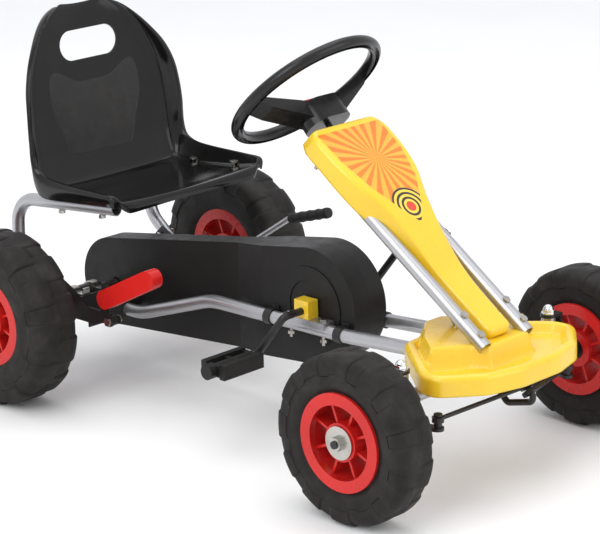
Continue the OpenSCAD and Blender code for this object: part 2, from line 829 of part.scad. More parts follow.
function pitch_r(teeth) = pitch / (2 * sin(180 / teeth));
module chain() {
    a = [0, axle_z];
    b = [crank_x, crank_z];
    ra = pitch_r(axle_teeth) + 3.8;
    rb = pitch_r(crank_teeth) + 3.8;
    color(zinc)
        upright(4) difference() {
            belt3d(a, ra + 5, b, rb + 5, 8);
            translate([0, 0, -1]) belt3d(a, ra, b, rb, 10);
        }
}

// Crankshaft: one bent rod with both arms and both pedal spindles.
pedal_in = 118;
spindle_end = pedal_in + pedal_len + 5;
arm_turn = 233;
module crankshaft() {
    color(black)
        translate([crank_x, 0, crank_z]) rotate([0, 90 - arm_turn, 0]) rotate([90, 0, 90])
            rod_path([[-spindle_end, crank_len], [-108, crank_len], [-100, 0], [100, 0],
                [108, -crank_len], [spindle_end, -crank_len]], crank_d / 2, 9);
}

module crank_block(side) {
    color(yellow)
        difference() {
            translate([crank_x - 15, side > 0 ? main_y - 11 : -main_y - 11, bracket_hi + 0.05]) cube([30, 22, 29]);
            translate([crank_x, 0, crank_z]) rotate([90, 0, 0]) cylinder(d = crank_d + 2 * run, h = 200, center = true);
        }
}

block_bolts = [crank_x - 33, crank_x + 37];
bracket_lo = main_z + 14.3;
bracket_hi = bracket_lo + 3;
// Saddle plates on the main tubes that the crank blocks stand on.
module crank_bracket() {
    color(silver)
        both_sides() difference() {
            translate([crank_x - 44, main_y - 12, main_z]) cube([92, 24, bracket_hi - main_z]);
            upright(main_y) rod_path(main_path, tube_r + fit, 120);
            translate([crank_x - 45, main_y - 20, main_z - 5]) cube([100, 40, 12.5]);
            for (x = block_bolts) translate([x, main_y, main_z]) cylinder(r = 3.2, h = 60, center = true);
        }
}

module frame_bolts() {
    color(zinc) {
        both_sides() for (x = block_bolts) translate([x, main_y, 0]) {
            translate([0, 0, bracket_hi + 0.05]) hex_nut(10, 4);
            translate([0, 0, main_z - 22]) cylinder(r = 3, h = bracket_hi - main_z + 23);
            translate([0, 0, main_z - 17]) hex_nut(10, 5);
        }
        both_sides() for (p = seat_tube_bolts) translate([p[0], end_y, p[1]]) rotate([-90, 0, 0]) {
            translate([0, 0, -4.2]) hex_nut(10, 4);
            translate([0, 0, -1]) cylinder(r = 3, h = seat_y - end_y + tube_r + 3);
            translate([0, 0, seat_y - end_y + tube_r + 0.1]) hex_nut(10, 4);
        }
    }
}

module pedal(side) {
    px = crank_x + side * crank_len * -cos(arm_turn);
    pz = crank_z + side * crank_len * -sin(arm_turn);
    hw = pedal_w / 2;
    color(matt_black)
        wheel_at(px, side * pedal_in, pz, side)
            difference() {
                union() {
                    for (s = [-1, 1]) {
                        translate([s * (hw - 5) - 5, -12, 0]) cube([10, 24, pedal_len]);
                        translate([s * (hw - 5), -12, 0]) linear_extrude(pedal_len) square([6, 24]);
                    }
                    translate([-hw + 2, -9, 0]) cube([pedal_w - 4, 18, 9]);
                    translate([-hw + 2, -9, pedal_len / 2 - 4]) cube([pedal_w - 4, 18, 8]);
                    translate([-hw + 2, -9, pedal_len - 9]) cube([pedal_w - 4, 18, 9]);
                    cylinder(r = 10, h = pedal_len + 4);
                    translate([0, 0, pedal_len]) cylinder(r = 12, h = 14);
                }
                translate([0, 0, -1]) cylinder(d = crank_d + 2 * run, h = spindle_end - pedal_in + 2);
            }
}

// Chain guard: two moulded halves that meet in the middle plane, narrow at the rear and
// full width around the crank, with a raised ring on the face.
guard_half = guard_w / 2;
guard_low = 21;
guard_rear = [-6, 143];
guard_front = [474, 201];
module guard_half_shape() {
    color(matt_black)
        difference() {
            union() {
                intersection() {
                    upright(guard_half) belt3d(guard_rear, guard_rear_r, guard_front, guard_front_r, guard_half - 0.1);
                    guard_plan(0);
                }
                translate([guard_front[0], guard_half - 0.5, guard_front[1]]) rotate([-90, 0, 0])
                    linear_extrude(2.5) ring2d(guard_front_r - 30, guard_front_r - 52);
            }
            intersection() {
                upright(guard_half - guard_wall)
                    belt3d(guard_rear, guard_rear_r - guard_wall, guard_front, guard_front_r - guard_wall, guard_half);
                guard_plan(guard_wall);
            }
            translate([0, 0, axle_z]) rotate([-90, 0, 0]) cylinder(r = axle_d / 2 + 2, h = 100);
            translate([crank_x, 0, crank_z]) rotate([-90, 0, 0]) cylinder(r = crank_d / 2 + 2, h = 100);
            translate([cross_x - 1, -1, cross_lo - 1])
                cube([cross_face - cross_x + 2, guard_w, cross_hi - cross_lo + 2]);
        }
}

// Plan of one half, in by the wall's thickness where it is hollowed.
module guard_plan(in) {
    linear_extrude(400) polygon([[-120, -5], [-120, guard_low - in], [300, guard_low - in],
        [370, guard_half - in], [640, guard_half - in], [640, -5]]);
}

module guard(side) {
    mirror([0, side > 0 ? 0 : 1, 0]) guard_half_shape();
}

// Straps around the main tubes, each with a lug on the guard's side.
module guard_clips() {
    color(black)
        both_sides() for (x = [400, 552]) {
            z = main_z + 3.5 * (x - 265) / (560 - 265);
            difference() {
                union() {
                    translate([x, main_y, z]) rotate([0, 90, 0]) cylinder(r = tube_r + fit + 2, h = 14, center = true);
                    translate([x - 7, guard_half + fit, z - 8]) cube([14, 2.5, 24]);
                }
                upright(main_y) rod_path(main_path, tube_r + fit, 120);
            }
        }
}

// ---------------------------------------------------------------- levers

lever_px = 128;
lever_pz = 131;
lever_y = 151;
grip_a = [112, 163];
grip_b = [241, 228.5];

// Side outline of the brake lever's arm, grown by g.
module brake_arm2d(g) {
    d = unit(grip_b - grip_a);
    slot2d([lever_px, lever_pz], [lever_px - 17, lever_pz + 23], 7 + g);
    slot2d([lever_px - 17, lever_pz + 23], grip_a + 10 * d, 7 + g);
    slot2d(grip_a + 8 * d, grip_b - 20 * d, 6 + g);
}

module brake_lever() {
    color(dark_sheet)
        difference() {
            union() {
                plate(-lever_y, 4) {
                    translate([lever_px, lever_pz]) circle(r = 9);
                    brake_arm2d(0);
                }
                translate([lever_px, -lever_y + 2, lever_pz]) rotate([-90, 0, 0])
                    cylinder(r = 8, h = lever_y - end_y - sheet - 2 - 0.4);
            }
            translate([lever_px, 0, lever_pz]) rotate([90, 0, 0]) cylinder(r = 4 + run, h = 200);
        }
}

module brake_grip() {
    d = unit(grip_b - grip_a);
    color(red)
        difference() {
            upright(-lever_y + 11) belt3d(grip_a + 16 * d, 16, grip_b - 10 * d, 15.9, 22);
            plate(-lever_y, 4.3) brake_arm2d(0.2);
        }
}

shift_a = [252, 263];
shift_b = [340, 289];
module shift_lever() {
    d = unit(shift_b - shift_a);
    color(silver)
        difference() {
            union() {
                upright(lever_y) rod_path([[lever_px, lever_pz], [146, 196], shift_a - 6 * d, shift_b - 8 * d], 5, 16);
                translate([lever_px, lever_y + 6, lever_pz]) rotate([90, 0, 0])
                    cylinder(r = 9, h = lever_y + 6 - end_y - sheet - 0.4);
            }
            translate([lever_px, 0, lever_pz]) rotate([-90, 0, 0]) cylinder(r = 4 + run, h = 200);
        }
}

module shift_grip() {
    d = unit(shift_b - shift_a);
    color(black)
        difference() {
            union() {
                upright(lever_y) rod_path([shift_a, shift_b], 8.5, 0);
                for (k = [0.08, 0.3, 0.52, 0.74, 0.94])
                    upright(lever_y) rod_path([shift_a + (k * 91 - 2) * d, shift_a + (k * 91 + 2) * d], 9.3, 0);
            }
            upright(lever_y) rod_path([shift_a - 5 * d, shift_b - 7.7 * d], 5.05, 0);
        }
}

// Bolts that the two levers turn on.
module lever_bolts() {
    color(zinc) {
        translate([lever_px, -end_y, lever_pz]) rotate([90, 0, 0]) {
            translate([0, 0, -5.1]) hex_nut(13, 5);
            translate([0, 0, -1]) cylinder(r = 4, h = lever_y - end_y + 6);
            translate([0, 0, lever_y - end_y + 2.4]) hex_nut(13, 5);
        }
        translate([lever_px, end_y, lever_pz]) rotate([-90, 0, 0]) {
            translate([0, 0, -5.1]) hex_nut(13, 5);
            translate([0, 0, -1]) cylinder(r = 4, h = lever_y - end_y + 10);
            translate([0, 0, lever_y - end_y + 6.4]) hex_nut(13, 5);
        }
    }
}

// ---------------------------------------------------------------- seat

// Rows of the seat's surface from the front lip over the pan and up the back, each as
// [centre x, centre z, half width, bolster x, bolster z, skirt x, skirt z].
rise = seat_top - 612;
seat_rows = [
    [172, 321, 166, 170.5, 335, 170, 331.5], [173, 329, 169, 171, 345.5, 169, 334],
    [169.5, 334, 171.5, 167, 352, 164.5, 335.5], [163, 334, 173, 159, 353.5, 157, 334],
    [140, 330.5, 173, 140, 353.5, 140, 332], [100, 326.5, 173, 100, 353.5, 100, 328.5],
    [60, 322.6, 173, 60, 353.5, 60, 325], [25, 319.5, 173, 27, 354.5, 23, 321.5],
    [0, 318.8, 173, 8, 357, 1, 320], [-18, 321.5, 173, -6, 362, -16, 325],
    [-30, 330, 173, -15, 369, -27, 343], [-38, 347, 173, -20, 378, -31, 365],
    [-44, 367, 173, -23, 390, -33, 385], [-48, 392, 173, -24, 406, -33, 404],
    [-52, 422, 173, -25, 427, -34, 426], [-56, 456, 171, -28, 456, -37, 456],
    [-61, 492, 166, -34, 492, -43, 492], [-66, 526, 153, -43, 526, -52, 526],
    [-71, 556, 133, -55, 555, -64, 555], [-75, 580, 112, -66, 578.5, -76, 578],
    [-79, 597, 91, -75, 596.5, -86, 594], [-83, 607 + rise / 2, 72, -81, 606.5 + rise / 2, -92, 604],
    [-88, 612 + rise, 54, -87, 612 + rise, -97, 609 + rise]];
seat_n = len(seat_rows);
// Stations across one half: [share of the half width, dish, bolster, skirt, inward, under].
seat_stations = [[0, 0, 0, 0, 0, 1], [0.25, 0.06, 0, 0, 0, 1], [0.48, 0.23, 0, 0, 0, 1],
    [0.66, 0.44, 0, 0, 0, 1], [0.78, 0.6, 0.02, 0, -0.1, 1], [0.85, 0.6, 0.08, 0, -0.4, 0.9],
    [0.895, 0.4, 0.4, 0, -0.75, 0.65], [0.93, 0.1, 0.84, 0, -0.7, 0.7],
    [0.955, 0, 1, 0, -0.1, 1], [0.98, 0, 0.95, 0.05, 0.6, 0.8], [1, 0, 0.75, 0.25, 1, 0.2],
    [0.99, 0, 0.37, 0.63, 1, 0], [0.968, 0, 0, 1, 1, 0]];
seat_m = len(seat_stations);
seat_dish = 8;

function seat_centre(i) = [seat_rows[i][0], seat_rows[i][1]];
function seat_tangent(i) = unit(seat_centre(min(i + 1, seat_n - 1)) - seat_centre(max(i - 1, 0)));
function seat_normal(i) = let(d = seat_tangent(i)) [d[1], -d[0]];
// Near its front and top edges the wall's thickness is measured straight through.
function seat_edge(i) = max(0, 1 - i / 3, 1 - (seat_n - 1 - i) / 5);
function seat_through(i) = i < seat_n / 2 ? seat_normal(i) : [0.2, 0.98];
// Point of the upper (k = 0) or lower (k = 1) surface at row i and station j.
function seat_point(i, j, side, k) =
    let(s = seat_rows[i], w = seat_stations[j], n = seat_normal(i), g = seat_edge(i),
        c = seat_centre(i) + w[1] * seat_dish * n,
        p = (1 - w[2] - w[3]) * c + w[2] * [s[3], s[4]] + w[3] * [s[5], s[6]],
        in = k * seat_wall * ((1 - g) * w[5] * n + g * seat_through(i)))
    [p[0] - in[0], side * (seat_share(i, j) * s[2] * seat_w / 346 - k * (1 - g) * w[4] * seat_wall), p[1] - in[1]];
// The skirt tucks in under the bolster, but not round the front corners.
function seat_share(i, j) = i < 3 && j > 9 ? 1 : seat_stations[j][0];

module seat_shell() {
    cols = 2 * seat_m - 1;
    grid = [for (k = [0, 1]) for (i = [0 : seat_n - 1]) for (c = [0 : cols - 1])
        seat_point(i, abs(c - seat_m + 1), c < seat_m - 1 ? -1 : 1, k)];
    n = seat_n * cols;
    quads = [for (i = [0 : seat_n - 2]) for (j = [0 : cols - 2])
        [i * cols + j, i * cols + j + 1, (i + 1) * cols + j + 1, (i + 1) * cols + j]];
    under = [for (q = quads) [n + q[3], n + q[2], n + q[1], n + q[0]]];
    rear = (seat_n - 1) * cols;
    sides = concat(
        [for (j = [0 : cols - 2]) [j + 1, j, n + j, n + j + 1]],
        [for (j = [0 : cols - 2]) [rear + j, rear + j + 1, n + rear + j + 1, n + rear + j]],
        [for (i = [0 : seat_n - 2]) [i * cols, (i + 1) * cols, n + (i + 1) * cols, n + i * cols]],
        [for (i = [0 : seat_n - 2]) let(a = (i + 1) * cols - 1) [a + cols, a, n + a, n + a + cols]]);
    all = concat(quads, under, sides);
    polyhedron(points = grid, faces = concat([for (q = all) [q[0], q[1], q[2]]],
        [for (q = all) [q[0], q[2], q[3]]]), convexity = 6);
}

seat_bolt_x = [20, 120];
// Height of the seat tube's top at the distance x.
function seat_rest(x) = seat_path[3][1] + (x - seat_path[3][0]) * tan(seat_slope) + (tube_r + swell) / cos(seat_slope);
module seat() {
    color(gloss_black)
        difference() {
            seat_shell();
            both_sides() upright(seat_y) rod_path([seat_path[2], seat_path[3] + [60, 60 * tan(seat_slope)]], tube_r + fit, 0);
            translate([-70, 0, 546]) rotate([0, 79, 0]) linear_extrude(80, center = true)
                slot2d([0, -(seat_hole_w - seat_hole_h) / 2], [0, (seat_hole_w - seat_hole_h) / 2], seat_hole_h / 2);
            both_sides() for (x = seat_bolt_x) translate([x, seat_y, 0]) {
                cylinder(r = 3.2, h = 400);
                translate([0, 0, seat_rest(x) + 4.5]) cylinder(r = 8, h = 40);
            }
        }
}

module seat_bolts() {
    color(zinc)
        both_sides() for (x = seat_bolt_x) translate([x, seat_y, seat_rest(x)]) {
            translate([0, 0, 4.8]) cylinder(r = 7, h = 3);
            translate([0, 0, -tube_d - 4]) cylinder(r = 3, h = tube_d + 9);
            translate([0, 0, -tube_d - 6.2]) hex_nut(10, 5);
        }
}

// ---------------------------------------------------------------- assembly

module in_place() {
    translate([rear_axle_x, 0, 0]) children();
}

in_place() main_tube(-1);  // main_tube_r
in_place() main_tube(1);  // main_tube_l
in_place() rear_cross();
in_place() axle_sleeve(-1);  // axle_sleeve_r
in_place() axle_sleeve(1);  // axle_sleeve_l
in_place() sleeve_clamps();
in_place() seat_tube(-1);  // seat_tube_r
in_place() seat_tube(1);  // seat_tube_l
in_place() front_beam();
in_place() beam_saddles();
in_place() column_tube(-1);  // column_tube_r
in_place() column_tube(1);  // column_tube_l
in_place() column_screws();
in_place() head_bracket();
in_place() foot_bracket();
in_place() shaft_bushes();
in_place() fairing();
in_place() bumper();
in_place() seat();
in_place() seat_bolts();
in_place() rear_axle();
in_place() rear_rim(-1);  // rim_rr
in_place() rear_rim(1);  // rim_rl
in_place() rear_tyre(-1);  // tyre_rr
in_place() rear_tyre(1);  // tyre_rl
in_place() rear_nuts();
in_place() axle_sprocket();
in_place() chain();
in_place() guard(-1);  // guard_r
in_place() guard(1);  // guard_l
in_place() guard_clips();
in_place() crank_bracket();
in_place() crank_block(-1);  // crank_block_r
in_place() crank_block(1);  // crank_block_l
in_place() frame_bolts();
in_place() crankshaft();
in_place() crank_sprocket();
in_place() pedal(-1);  // pedal_r
in_place() pedal(1);  // pedal_l
in_place() mirror([0, 1, 0]) knuckle();  // knuckle_r
in_place() knuckle();  // knuckle_l
in_place() kingpins();
in_place() front_rim(-1);  // rim_fr
in_place() front_rim(1);  // rim_fl
in_place() front_tyre(-1);  // tyre_fr
in_place() front_tyre(1);  // tyre_fl
in_place() front_bushes(-1);  // bushes_fr
in_place() front_bushes(1);  // bushes_fl
in_place() front_nut(-1);  // nut_fr
in_place() front_nut(1);  // nut_fl
in_place() steering_wheel();
in_place() steering_cap();
in_place() steering_shaft();
in_place() tie_rod(-1, 29);  // tie_rod_r
in_place() tie_rod(1, 18.5);  // tie_rod_l
in_place() brake_lever();
in_place() brake_grip();
in_place() shift_lever();
in_place() shift_grip();
in_place() lever_bolts();
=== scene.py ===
# %% [markdown]
# A child's pedal go kart: a tube frame with a moulded seat, a yellow fairing and bumper,
# four tyres with block tread on red ribbed rims, a chain guard and two hand levers. The exact
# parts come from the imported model, and most of them only get a finish here. The seat, the
# fairing, the bumper and the tyres are made again as smooth surfaces, because those are the
# parts whose curves catch the light.

# %% Load the fixed frame
import json
import math
import bmesh
import bpy
import numpy as np
from mathutils import Matrix, Vector


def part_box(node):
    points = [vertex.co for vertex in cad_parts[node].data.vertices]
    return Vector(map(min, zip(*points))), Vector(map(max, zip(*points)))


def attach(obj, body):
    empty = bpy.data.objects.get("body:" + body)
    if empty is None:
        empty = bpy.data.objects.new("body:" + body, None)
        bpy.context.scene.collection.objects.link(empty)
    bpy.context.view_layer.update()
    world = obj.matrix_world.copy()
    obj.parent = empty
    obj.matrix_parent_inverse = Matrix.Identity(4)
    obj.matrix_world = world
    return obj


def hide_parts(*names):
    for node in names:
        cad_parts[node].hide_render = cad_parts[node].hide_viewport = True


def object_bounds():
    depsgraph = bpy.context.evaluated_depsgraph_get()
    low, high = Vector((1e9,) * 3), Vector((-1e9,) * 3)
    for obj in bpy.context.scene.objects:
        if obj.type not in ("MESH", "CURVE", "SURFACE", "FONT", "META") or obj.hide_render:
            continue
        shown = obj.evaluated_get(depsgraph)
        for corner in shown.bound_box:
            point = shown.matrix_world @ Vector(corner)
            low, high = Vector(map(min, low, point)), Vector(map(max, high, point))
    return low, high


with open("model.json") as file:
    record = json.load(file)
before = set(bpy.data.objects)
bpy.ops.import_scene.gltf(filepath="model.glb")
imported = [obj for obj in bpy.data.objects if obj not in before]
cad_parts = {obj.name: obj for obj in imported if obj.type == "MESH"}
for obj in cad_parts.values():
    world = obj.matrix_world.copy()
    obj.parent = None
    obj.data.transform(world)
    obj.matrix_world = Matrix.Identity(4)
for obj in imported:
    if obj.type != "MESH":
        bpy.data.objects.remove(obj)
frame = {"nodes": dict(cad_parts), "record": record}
cad_box = [list(c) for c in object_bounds()]
record = frame["record"]
MM = 0.001
axle_lo, axle_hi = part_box("rear_axle")
rear_x = (axle_lo.x + axle_hi.x) / 2
for plain in list(bpy.data.materials):
    bpy.data.materials.remove(plain)


def mid(node):
    """Middle of a part's box, as an array in metres."""
    lo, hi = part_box(node)
    return (np.array(lo) + np.array(hi)) / 2


def from_axle(points):
    """Turns millimetres measured forward from the rear axle into metres of the frame."""
    p = np.asarray(points, float) * MM
    p[..., 0] += rear_x
    return p


print("rear axle at x", round(rear_x, 4), "object box", cad_box)

# %% [markdown]
# The camera stands ahead of the kart on its right, well above the steering wheel, with a long
# lens, as a catalogue view is taken. It could be aimed with a constraint, but then its slight
# roll would be lost. So its three axes are worked out from three angles: the way round the
# kart, the height above it and the roll.

# %% Camera
around, above, roll = (math.radians(a) for a in (43.52, 17.02, -1.02))
stand = (2.616, -2.6462, 1.3709)
level = math.cos(above)
back = np.array([level * math.sin(around), -level * math.cos(around), math.sin(above)])
right = np.array([math.cos(around), math.sin(around), 0.0])
up = np.cross(back, right)
cam_x = right * math.cos(roll) + up * math.sin(roll)
cam_y = -right * math.sin(roll) + up * math.cos(roll)
lens = bpy.data.cameras.new("camera")
lens.lens, lens.sensor_width = 146.06, 36.0
lens.shift_x, lens.shift_y = -0.053, 0.006
camera = bpy.data.objects.new("camera", lens)
axes = np.column_stack([cam_x, cam_y, back, stand])
camera.matrix_world = Matrix(np.vstack([axes, [0, 0, 0, 1]]).tolist())
bpy.context.collection.objects.link(camera)
bpy.context.scene.camera = camera
print("camera at", [round(v, 3) for v in camera.location], "lens", round(lens.lens, 1), "mm")

# %% [markdown]
# New pieces are grids of points. They could be modelled by hand from a cube or built point by
# point in a loop. A grid is shorter and faster: the corners of every face come from the grid's
# own index array, so the whole mesh goes in at once and no point is visited by a loop.

# %% Grids into meshes
def grid_faces(rows, cols, start=0, round_rows=False, round_cols=False):
    """Corners of the quads of a rows by cols grid.
    A round direction joins its last line to its first."""
    i = np.arange(rows if round_rows else rows - 1)
    j = np.arange(cols if round_cols else cols - 1)
    i, j = (a.ravel() for a in np.meshgrid(i, j, indexing="ij"))
    next_i, next_j = (i + 1) % rows, (j + 1) % cols
    corners = [i * cols + j, i * cols + next_j, next_i * cols + next_j, next_i * cols + j]
    return np.stack(corners, 1) + start


def tidy(mesh):
    """Merges the doubled points of seams and poles and turns every face outwards."""
    work = bmesh.new()
    work.from_mesh(mesh)
    bmesh.ops.remove_doubles(work, verts=work.verts, dist=1e-5)
    bmesh.ops.dissolve_degenerate(work, edges=work.edges, dist=1e-6)
    bmesh.ops.recalc_face_normals(work, faces=work.faces)
    work.to_mesh(mesh)
    work.free()


def put_in(name, points, faces, sharp=40):
    """A mesh object from an (n, 3) array of points and an (m, 4) array of corners.
    Edges that turn by more than sharp degrees stay crisp."""
    mesh = bpy.data.meshes.new(name)
    mesh.vertices.add(len(points))
    mesh.vertices.foreach_set("co", np.ascontiguousarray(points, np.float32).ravel())
    mesh.loops.add(faces.size)
    mesh.loops.foreach_set("vertex_index", np.ascontiguousarray(faces, np.int32).ravel())
    mesh.polygons.add(len(faces))
    mesh.polygons.foreach_set("loop_start", np.arange(0, faces.size, 4, dtype=np.int32))
    mesh.update(calc_edges=True)
    tidy(mesh)
    mesh.shade_smooth()
    mesh.set_sharp_from_angle(angle=math.radians(sharp))
    piece = bpy.data.objects.new(name, mesh)
    bpy.context.collection.objects.link(piece)
    print(name, len(mesh.vertices), "points", len(mesh.polygons), "faces")
    return piece


# %% Reading and marking points
def points_of(mesh):
    """All the points of a mesh, as an (n, 3) array."""
    p = np.empty(len(mesh.vertices) * 3, np.float32)
    mesh.vertices.foreach_get("co", p)
    return p.reshape(-1, 3).astype(float)


def keep(mesh, name, values):
    """Stores one number a point on the mesh, for its material to read."""
    made = mesh.attributes.new(name, "FLOAT", "POINT")
    made.data.foreach_set("value", np.ascontiguousarray(values, np.float32))


def keep_vector(mesh, name, values):
    """Stores three numbers a point on the mesh."""
    made = mesh.attributes.new(name, "FLOAT_VECTOR", "POINT")
    made.data.foreach_set("vector", np.ascontiguousarray(values, np.float32).ravel())


# %% Smooth curves
def smooth_rows(p, steps):
    """Passes a smooth curve through the rows of p, steps points to a gap. A point a share f past
    row b, with rows a, b, c, d around it, is b plus half of f times: (c - a), plus f times
    (2a - 5b + 4c - d), plus f squared times (3b - 3c + d - a)."""
    t = np.linspace(0, len(p) - 1, (len(p) - 1) * steps + 1)
    i = np.minimum(t.astype(int), len(p) - 2)
    f = (t - i).reshape(-1, *([1] * (p.ndim - 1)))
    a, b, c, d = (p[np.clip(i + k, 0, len(p) - 1)] for k in (-1, 0, 1, 2))
    return b + 0.5 * f * (c - a + f * (2 * a - 5 * b + 4 * c - d + f * (3 * (b - c) + d - a)))


def step(x, a, b):
    """Rises smoothly from 0 at a to 1 at b: with t the share of the way, 3 t squared less 2 t cubed."""
    t = np.clip((x - a) / (b - a), 0, 1)
    return t * t * (3 - 2 * t)


def unit(v):
    """Vectors of length one."""
    return v / np.linalg.norm(v, axis=-1, keepdims=True)


# %% [markdown]
# Every finish starts from the same recipe: a base colour that drifts a little with a large
# soft noise, a roughness that varies with a finer one, and a bump for the grain. Painted
# images could do it too, but noise has no seams and stays sharp at any distance. What makes
# paint, plating, plastic and rubber different is the scale and the strength of each.

# %% Material links
def shader(name, rough, metal=0.0, coat=0.0, shine=0.5):
    """A material with a plain shader, its constant values set on the shader itself."""
    made = bpy.data.materials.new(name)
    made.use_nodes = True
    bsdf = made.node_tree.nodes["Principled BSDF"]
    bsdf.inputs["Metallic"].default_value = metal
    bsdf.inputs["Roughness"].default_value = rough
    bsdf.inputs["Coat Weight"].default_value = coat
    bsdf.inputs["Coat Roughness"].default_value = 0.06
    bsdf.inputs["Specular IOR Level"].default_value = shine
    return made, made.node_tree, bsdf


def node(tree, kind, **values):
    """Adds a node and sets its inputs or its properties by name."""
    made = tree.nodes.new(kind)
    for key, value in values.items():
        if key in made.inputs:
            made.inputs[key].default_value = value
        else:
            setattr(made, key, value)
    return made


def feed(tree, value, socket):
    """Gives a socket another node's result, a colour or a number."""
    if hasattr(value, "links"):
        tree.links.new(value, socket)
    elif isinstance(value, tuple):
        socket.default_value = (*value, 1)
    else:
        socket.default_value = value


def maths(tree, operation, *values):
    """A link of arithmetic; values are numbers or sockets."""
    made = node(tree, "ShaderNodeMath", operation=operation)
    for value, socket in zip(values, made.inputs):
        feed(tree, value, socket)
    return made.outputs[0]


def mixed(tree, factor, a, b):
    """Colour a where the factor is 0 and b where it is 1."""
    made = node(tree, "ShaderNodeMix", data_type="RGBA")
    feed(tree, factor, made.inputs["Factor"])
    feed(tree, a, made.inputs[6])
    feed(tree, b, made.inputs[7])
    return made.outputs[2]


def between(tree, factor, a, b):
    """Number a where the factor is 0 and b where it is 1."""
    made = node(tree, "ShaderNodeMix", data_type="FLOAT")
    feed(tree, factor, made.inputs["Factor"])
    feed(tree, a, made.inputs[2])
    feed(tree, b, made.inputs[3])
    return made.outputs[0]


# %% Noise, ramps and bump
def noise(tree, scale, detail=3.0):
    """Noise over the object's own coordinates, in metres."""
    where = node(tree, "ShaderNodeTexCoord").outputs["Object"]
    made = node(tree, "ShaderNodeTexNoise", Scale=scale, Detail=detail, Roughness=0.6)
    tree.links.new(where, made.inputs["Vector"])
    return made.outputs["Fac"]


def ramp(tree, value, stops):
    """Colours along a value: stops are (place, colour)."""
    made = node(tree, "ShaderNodeValToRGB")
    band = made.color_ramp
    while len(band.elements) < len(stops):
        band.elements.new(0.5)
    for e, (place, colour) in zip(band.elements, stops):
        e.position, e.color = place, (*colour, 1)
    tree.links.new(value, made.inputs["Fac"])
    return made.outputs["Color"]


def spread(tree, value, low, high, start=0.3, end=0.7):
    """Maps a value from start..end to low..high."""
    made = node(tree, "ShaderNodeMapRange")
    for key, v in (("From Min", start), ("From Max", end), ("To Min", low), ("To Max", high)):
        made.inputs[key].default_value = v
    tree.links.new(value, made.inputs["Value"])
    return made.outputs["Result"]


def bump(tree, bsdf, value, depth, strength=0.5):
    """Lets a value raise the surface by depth metres."""
    made = node(tree, "ShaderNodeBump", Strength=strength, Distance=depth)
    tree.links.new(value, made.inputs["Height"])
    tree.links.new(made.outputs["Normal"], bsdf.inputs["Normal"])


def finish(name, dark, light, rough, metal=0.0, coat=0.0, drift=9.0, grain=600.0, depth=0.0001,
           strength=0.3, vary=0.08, shine=0.5):
    """The shared recipe: colour drifting from dark to light, roughness rough give or take vary,
    and a grain that many to the metre, depth metres deep."""
    made, tree, bsdf = shader(name, rough, metal, coat, shine)
    colour = ramp(tree, noise(tree, drift, 5.0), [(0.3, dark), (0.7, light)])
    tree.links.new(colour, bsdf.inputs["Base Color"])
    dulled = spread(tree, noise(tree, drift * 6, 6.0), rough - vary, rough + vary)
    tree.links.new(dulled, bsdf.inputs["Roughness"])
    bump(tree, bsdf, noise(tree, grain, 4.0), depth, strength)
    return made


# %% [markdown]
# Metal parts. The tubes carry a bright silver paint whose flakes show as a very fine grain.
# Bolts, nuts, the rear axle and the chain with its wheels are zinc plated and slightly warm.
# The kingpins are chrome, and the sheet brackets, the knuckles and the rods wear a dark satin
# paint. The same recipe serves all five, so that they sit together under one light.

# %% Metal finishes
silver_tube = finish("silver_tube", (0.44, 0.44, 0.455), (0.52, 0.52, 0.53), 0.34, metal=0.85,
                     coat=0.2, grain=2600, depth=0.00002, strength=0.12, vary=0.03)
zinc = finish("zinc", (0.40, 0.385, 0.355), (0.54, 0.52, 0.485), 0.3, metal=1.0,
              drift=30, grain=900, depth=0.00003, strength=0.15, vary=0.06)
chrome = finish("chrome", (0.72, 0.73, 0.75), (0.82, 0.82, 0.83), 0.12, metal=1.0,
                drift=25, grain=300, depth=0.00001, strength=0.1, vary=0.03)
dark_sheet = finish("dark_sheet", (0.012, 0.011, 0.0105), (0.020, 0.0185, 0.0175), 0.38,
                    grain=900, depth=0.00008, shine=0.3)
black_metal = finish("black_metal", (0.014, 0.013, 0.013), (0.026, 0.025, 0.024), 0.33,
                     grain=800, depth=0.00008, shine=0.35)
print("metals", [m.name for m in (silver_tube, zinc, chrome, dark_sheet, black_metal)])

# %% [markdown]
# Plastics and grips. Gloss mouldings have a faint waviness that bends their reflections, so
# their grain is coarse and shallow. The matt guard and pedals have a finer grain and a higher
# roughness. A lower shine keeps the blacks black under a white sky.

# %% Plastic finishes
red_plastic = finish("red_plastic", (0.50, 0.012, 0.010), (0.62, 0.020, 0.016), 0.3,
                     grain=220, depth=0.00012, shine=0.35)
red_grip = finish("red_grip", (0.54, 0.010, 0.008), (0.66, 0.018, 0.014), 0.34,
                  grain=260, depth=0.00015, shine=0.35)
yellow_dark, yellow_light = (0.80, 0.50, 0.018), (0.86, 0.59, 0.03)
yellow_plastic = finish("yellow_plastic", yellow_dark, yellow_light, 0.3, coat=0.3,
                        drift=5, grain=120, depth=0.0002, strength=0.25)
wheel_plastic = finish("wheel_plastic", (0.006, 0.0057, 0.0054), (0.012, 0.0114, 0.0108), 0.24,
                       grain=700, depth=0.00006, shine=0.35)
black_plastic = finish("black_plastic", (0.0085, 0.008, 0.0075), (0.015, 0.014, 0.013), 0.46,
                       grain=1500, depth=0.00012, strength=0.45, shine=0.25)
grip_rubber = finish("grip_rubber", (0.014, 0.013, 0.012), (0.028, 0.026, 0.024), 0.6,
                     grain=1200, depth=0.00015, shine=0.3)
print("plastics", [m.name for m in (red_plastic, red_grip, yellow_plastic, wheel_plastic,
                                    black_plastic, grip_rubber)])

# %% [markdown]
# Tyre rubber is dull and brown grey, with paler dust in patches. The blocks of the tread are
# in the tyre's own surface, and the material sharpens their edges: it reads a number that is
# 1 on a block and 0 off it, and lifts the surface where that number is high. Doing both needs
# fewer points than a mesh fine enough to show such an edge on its own.

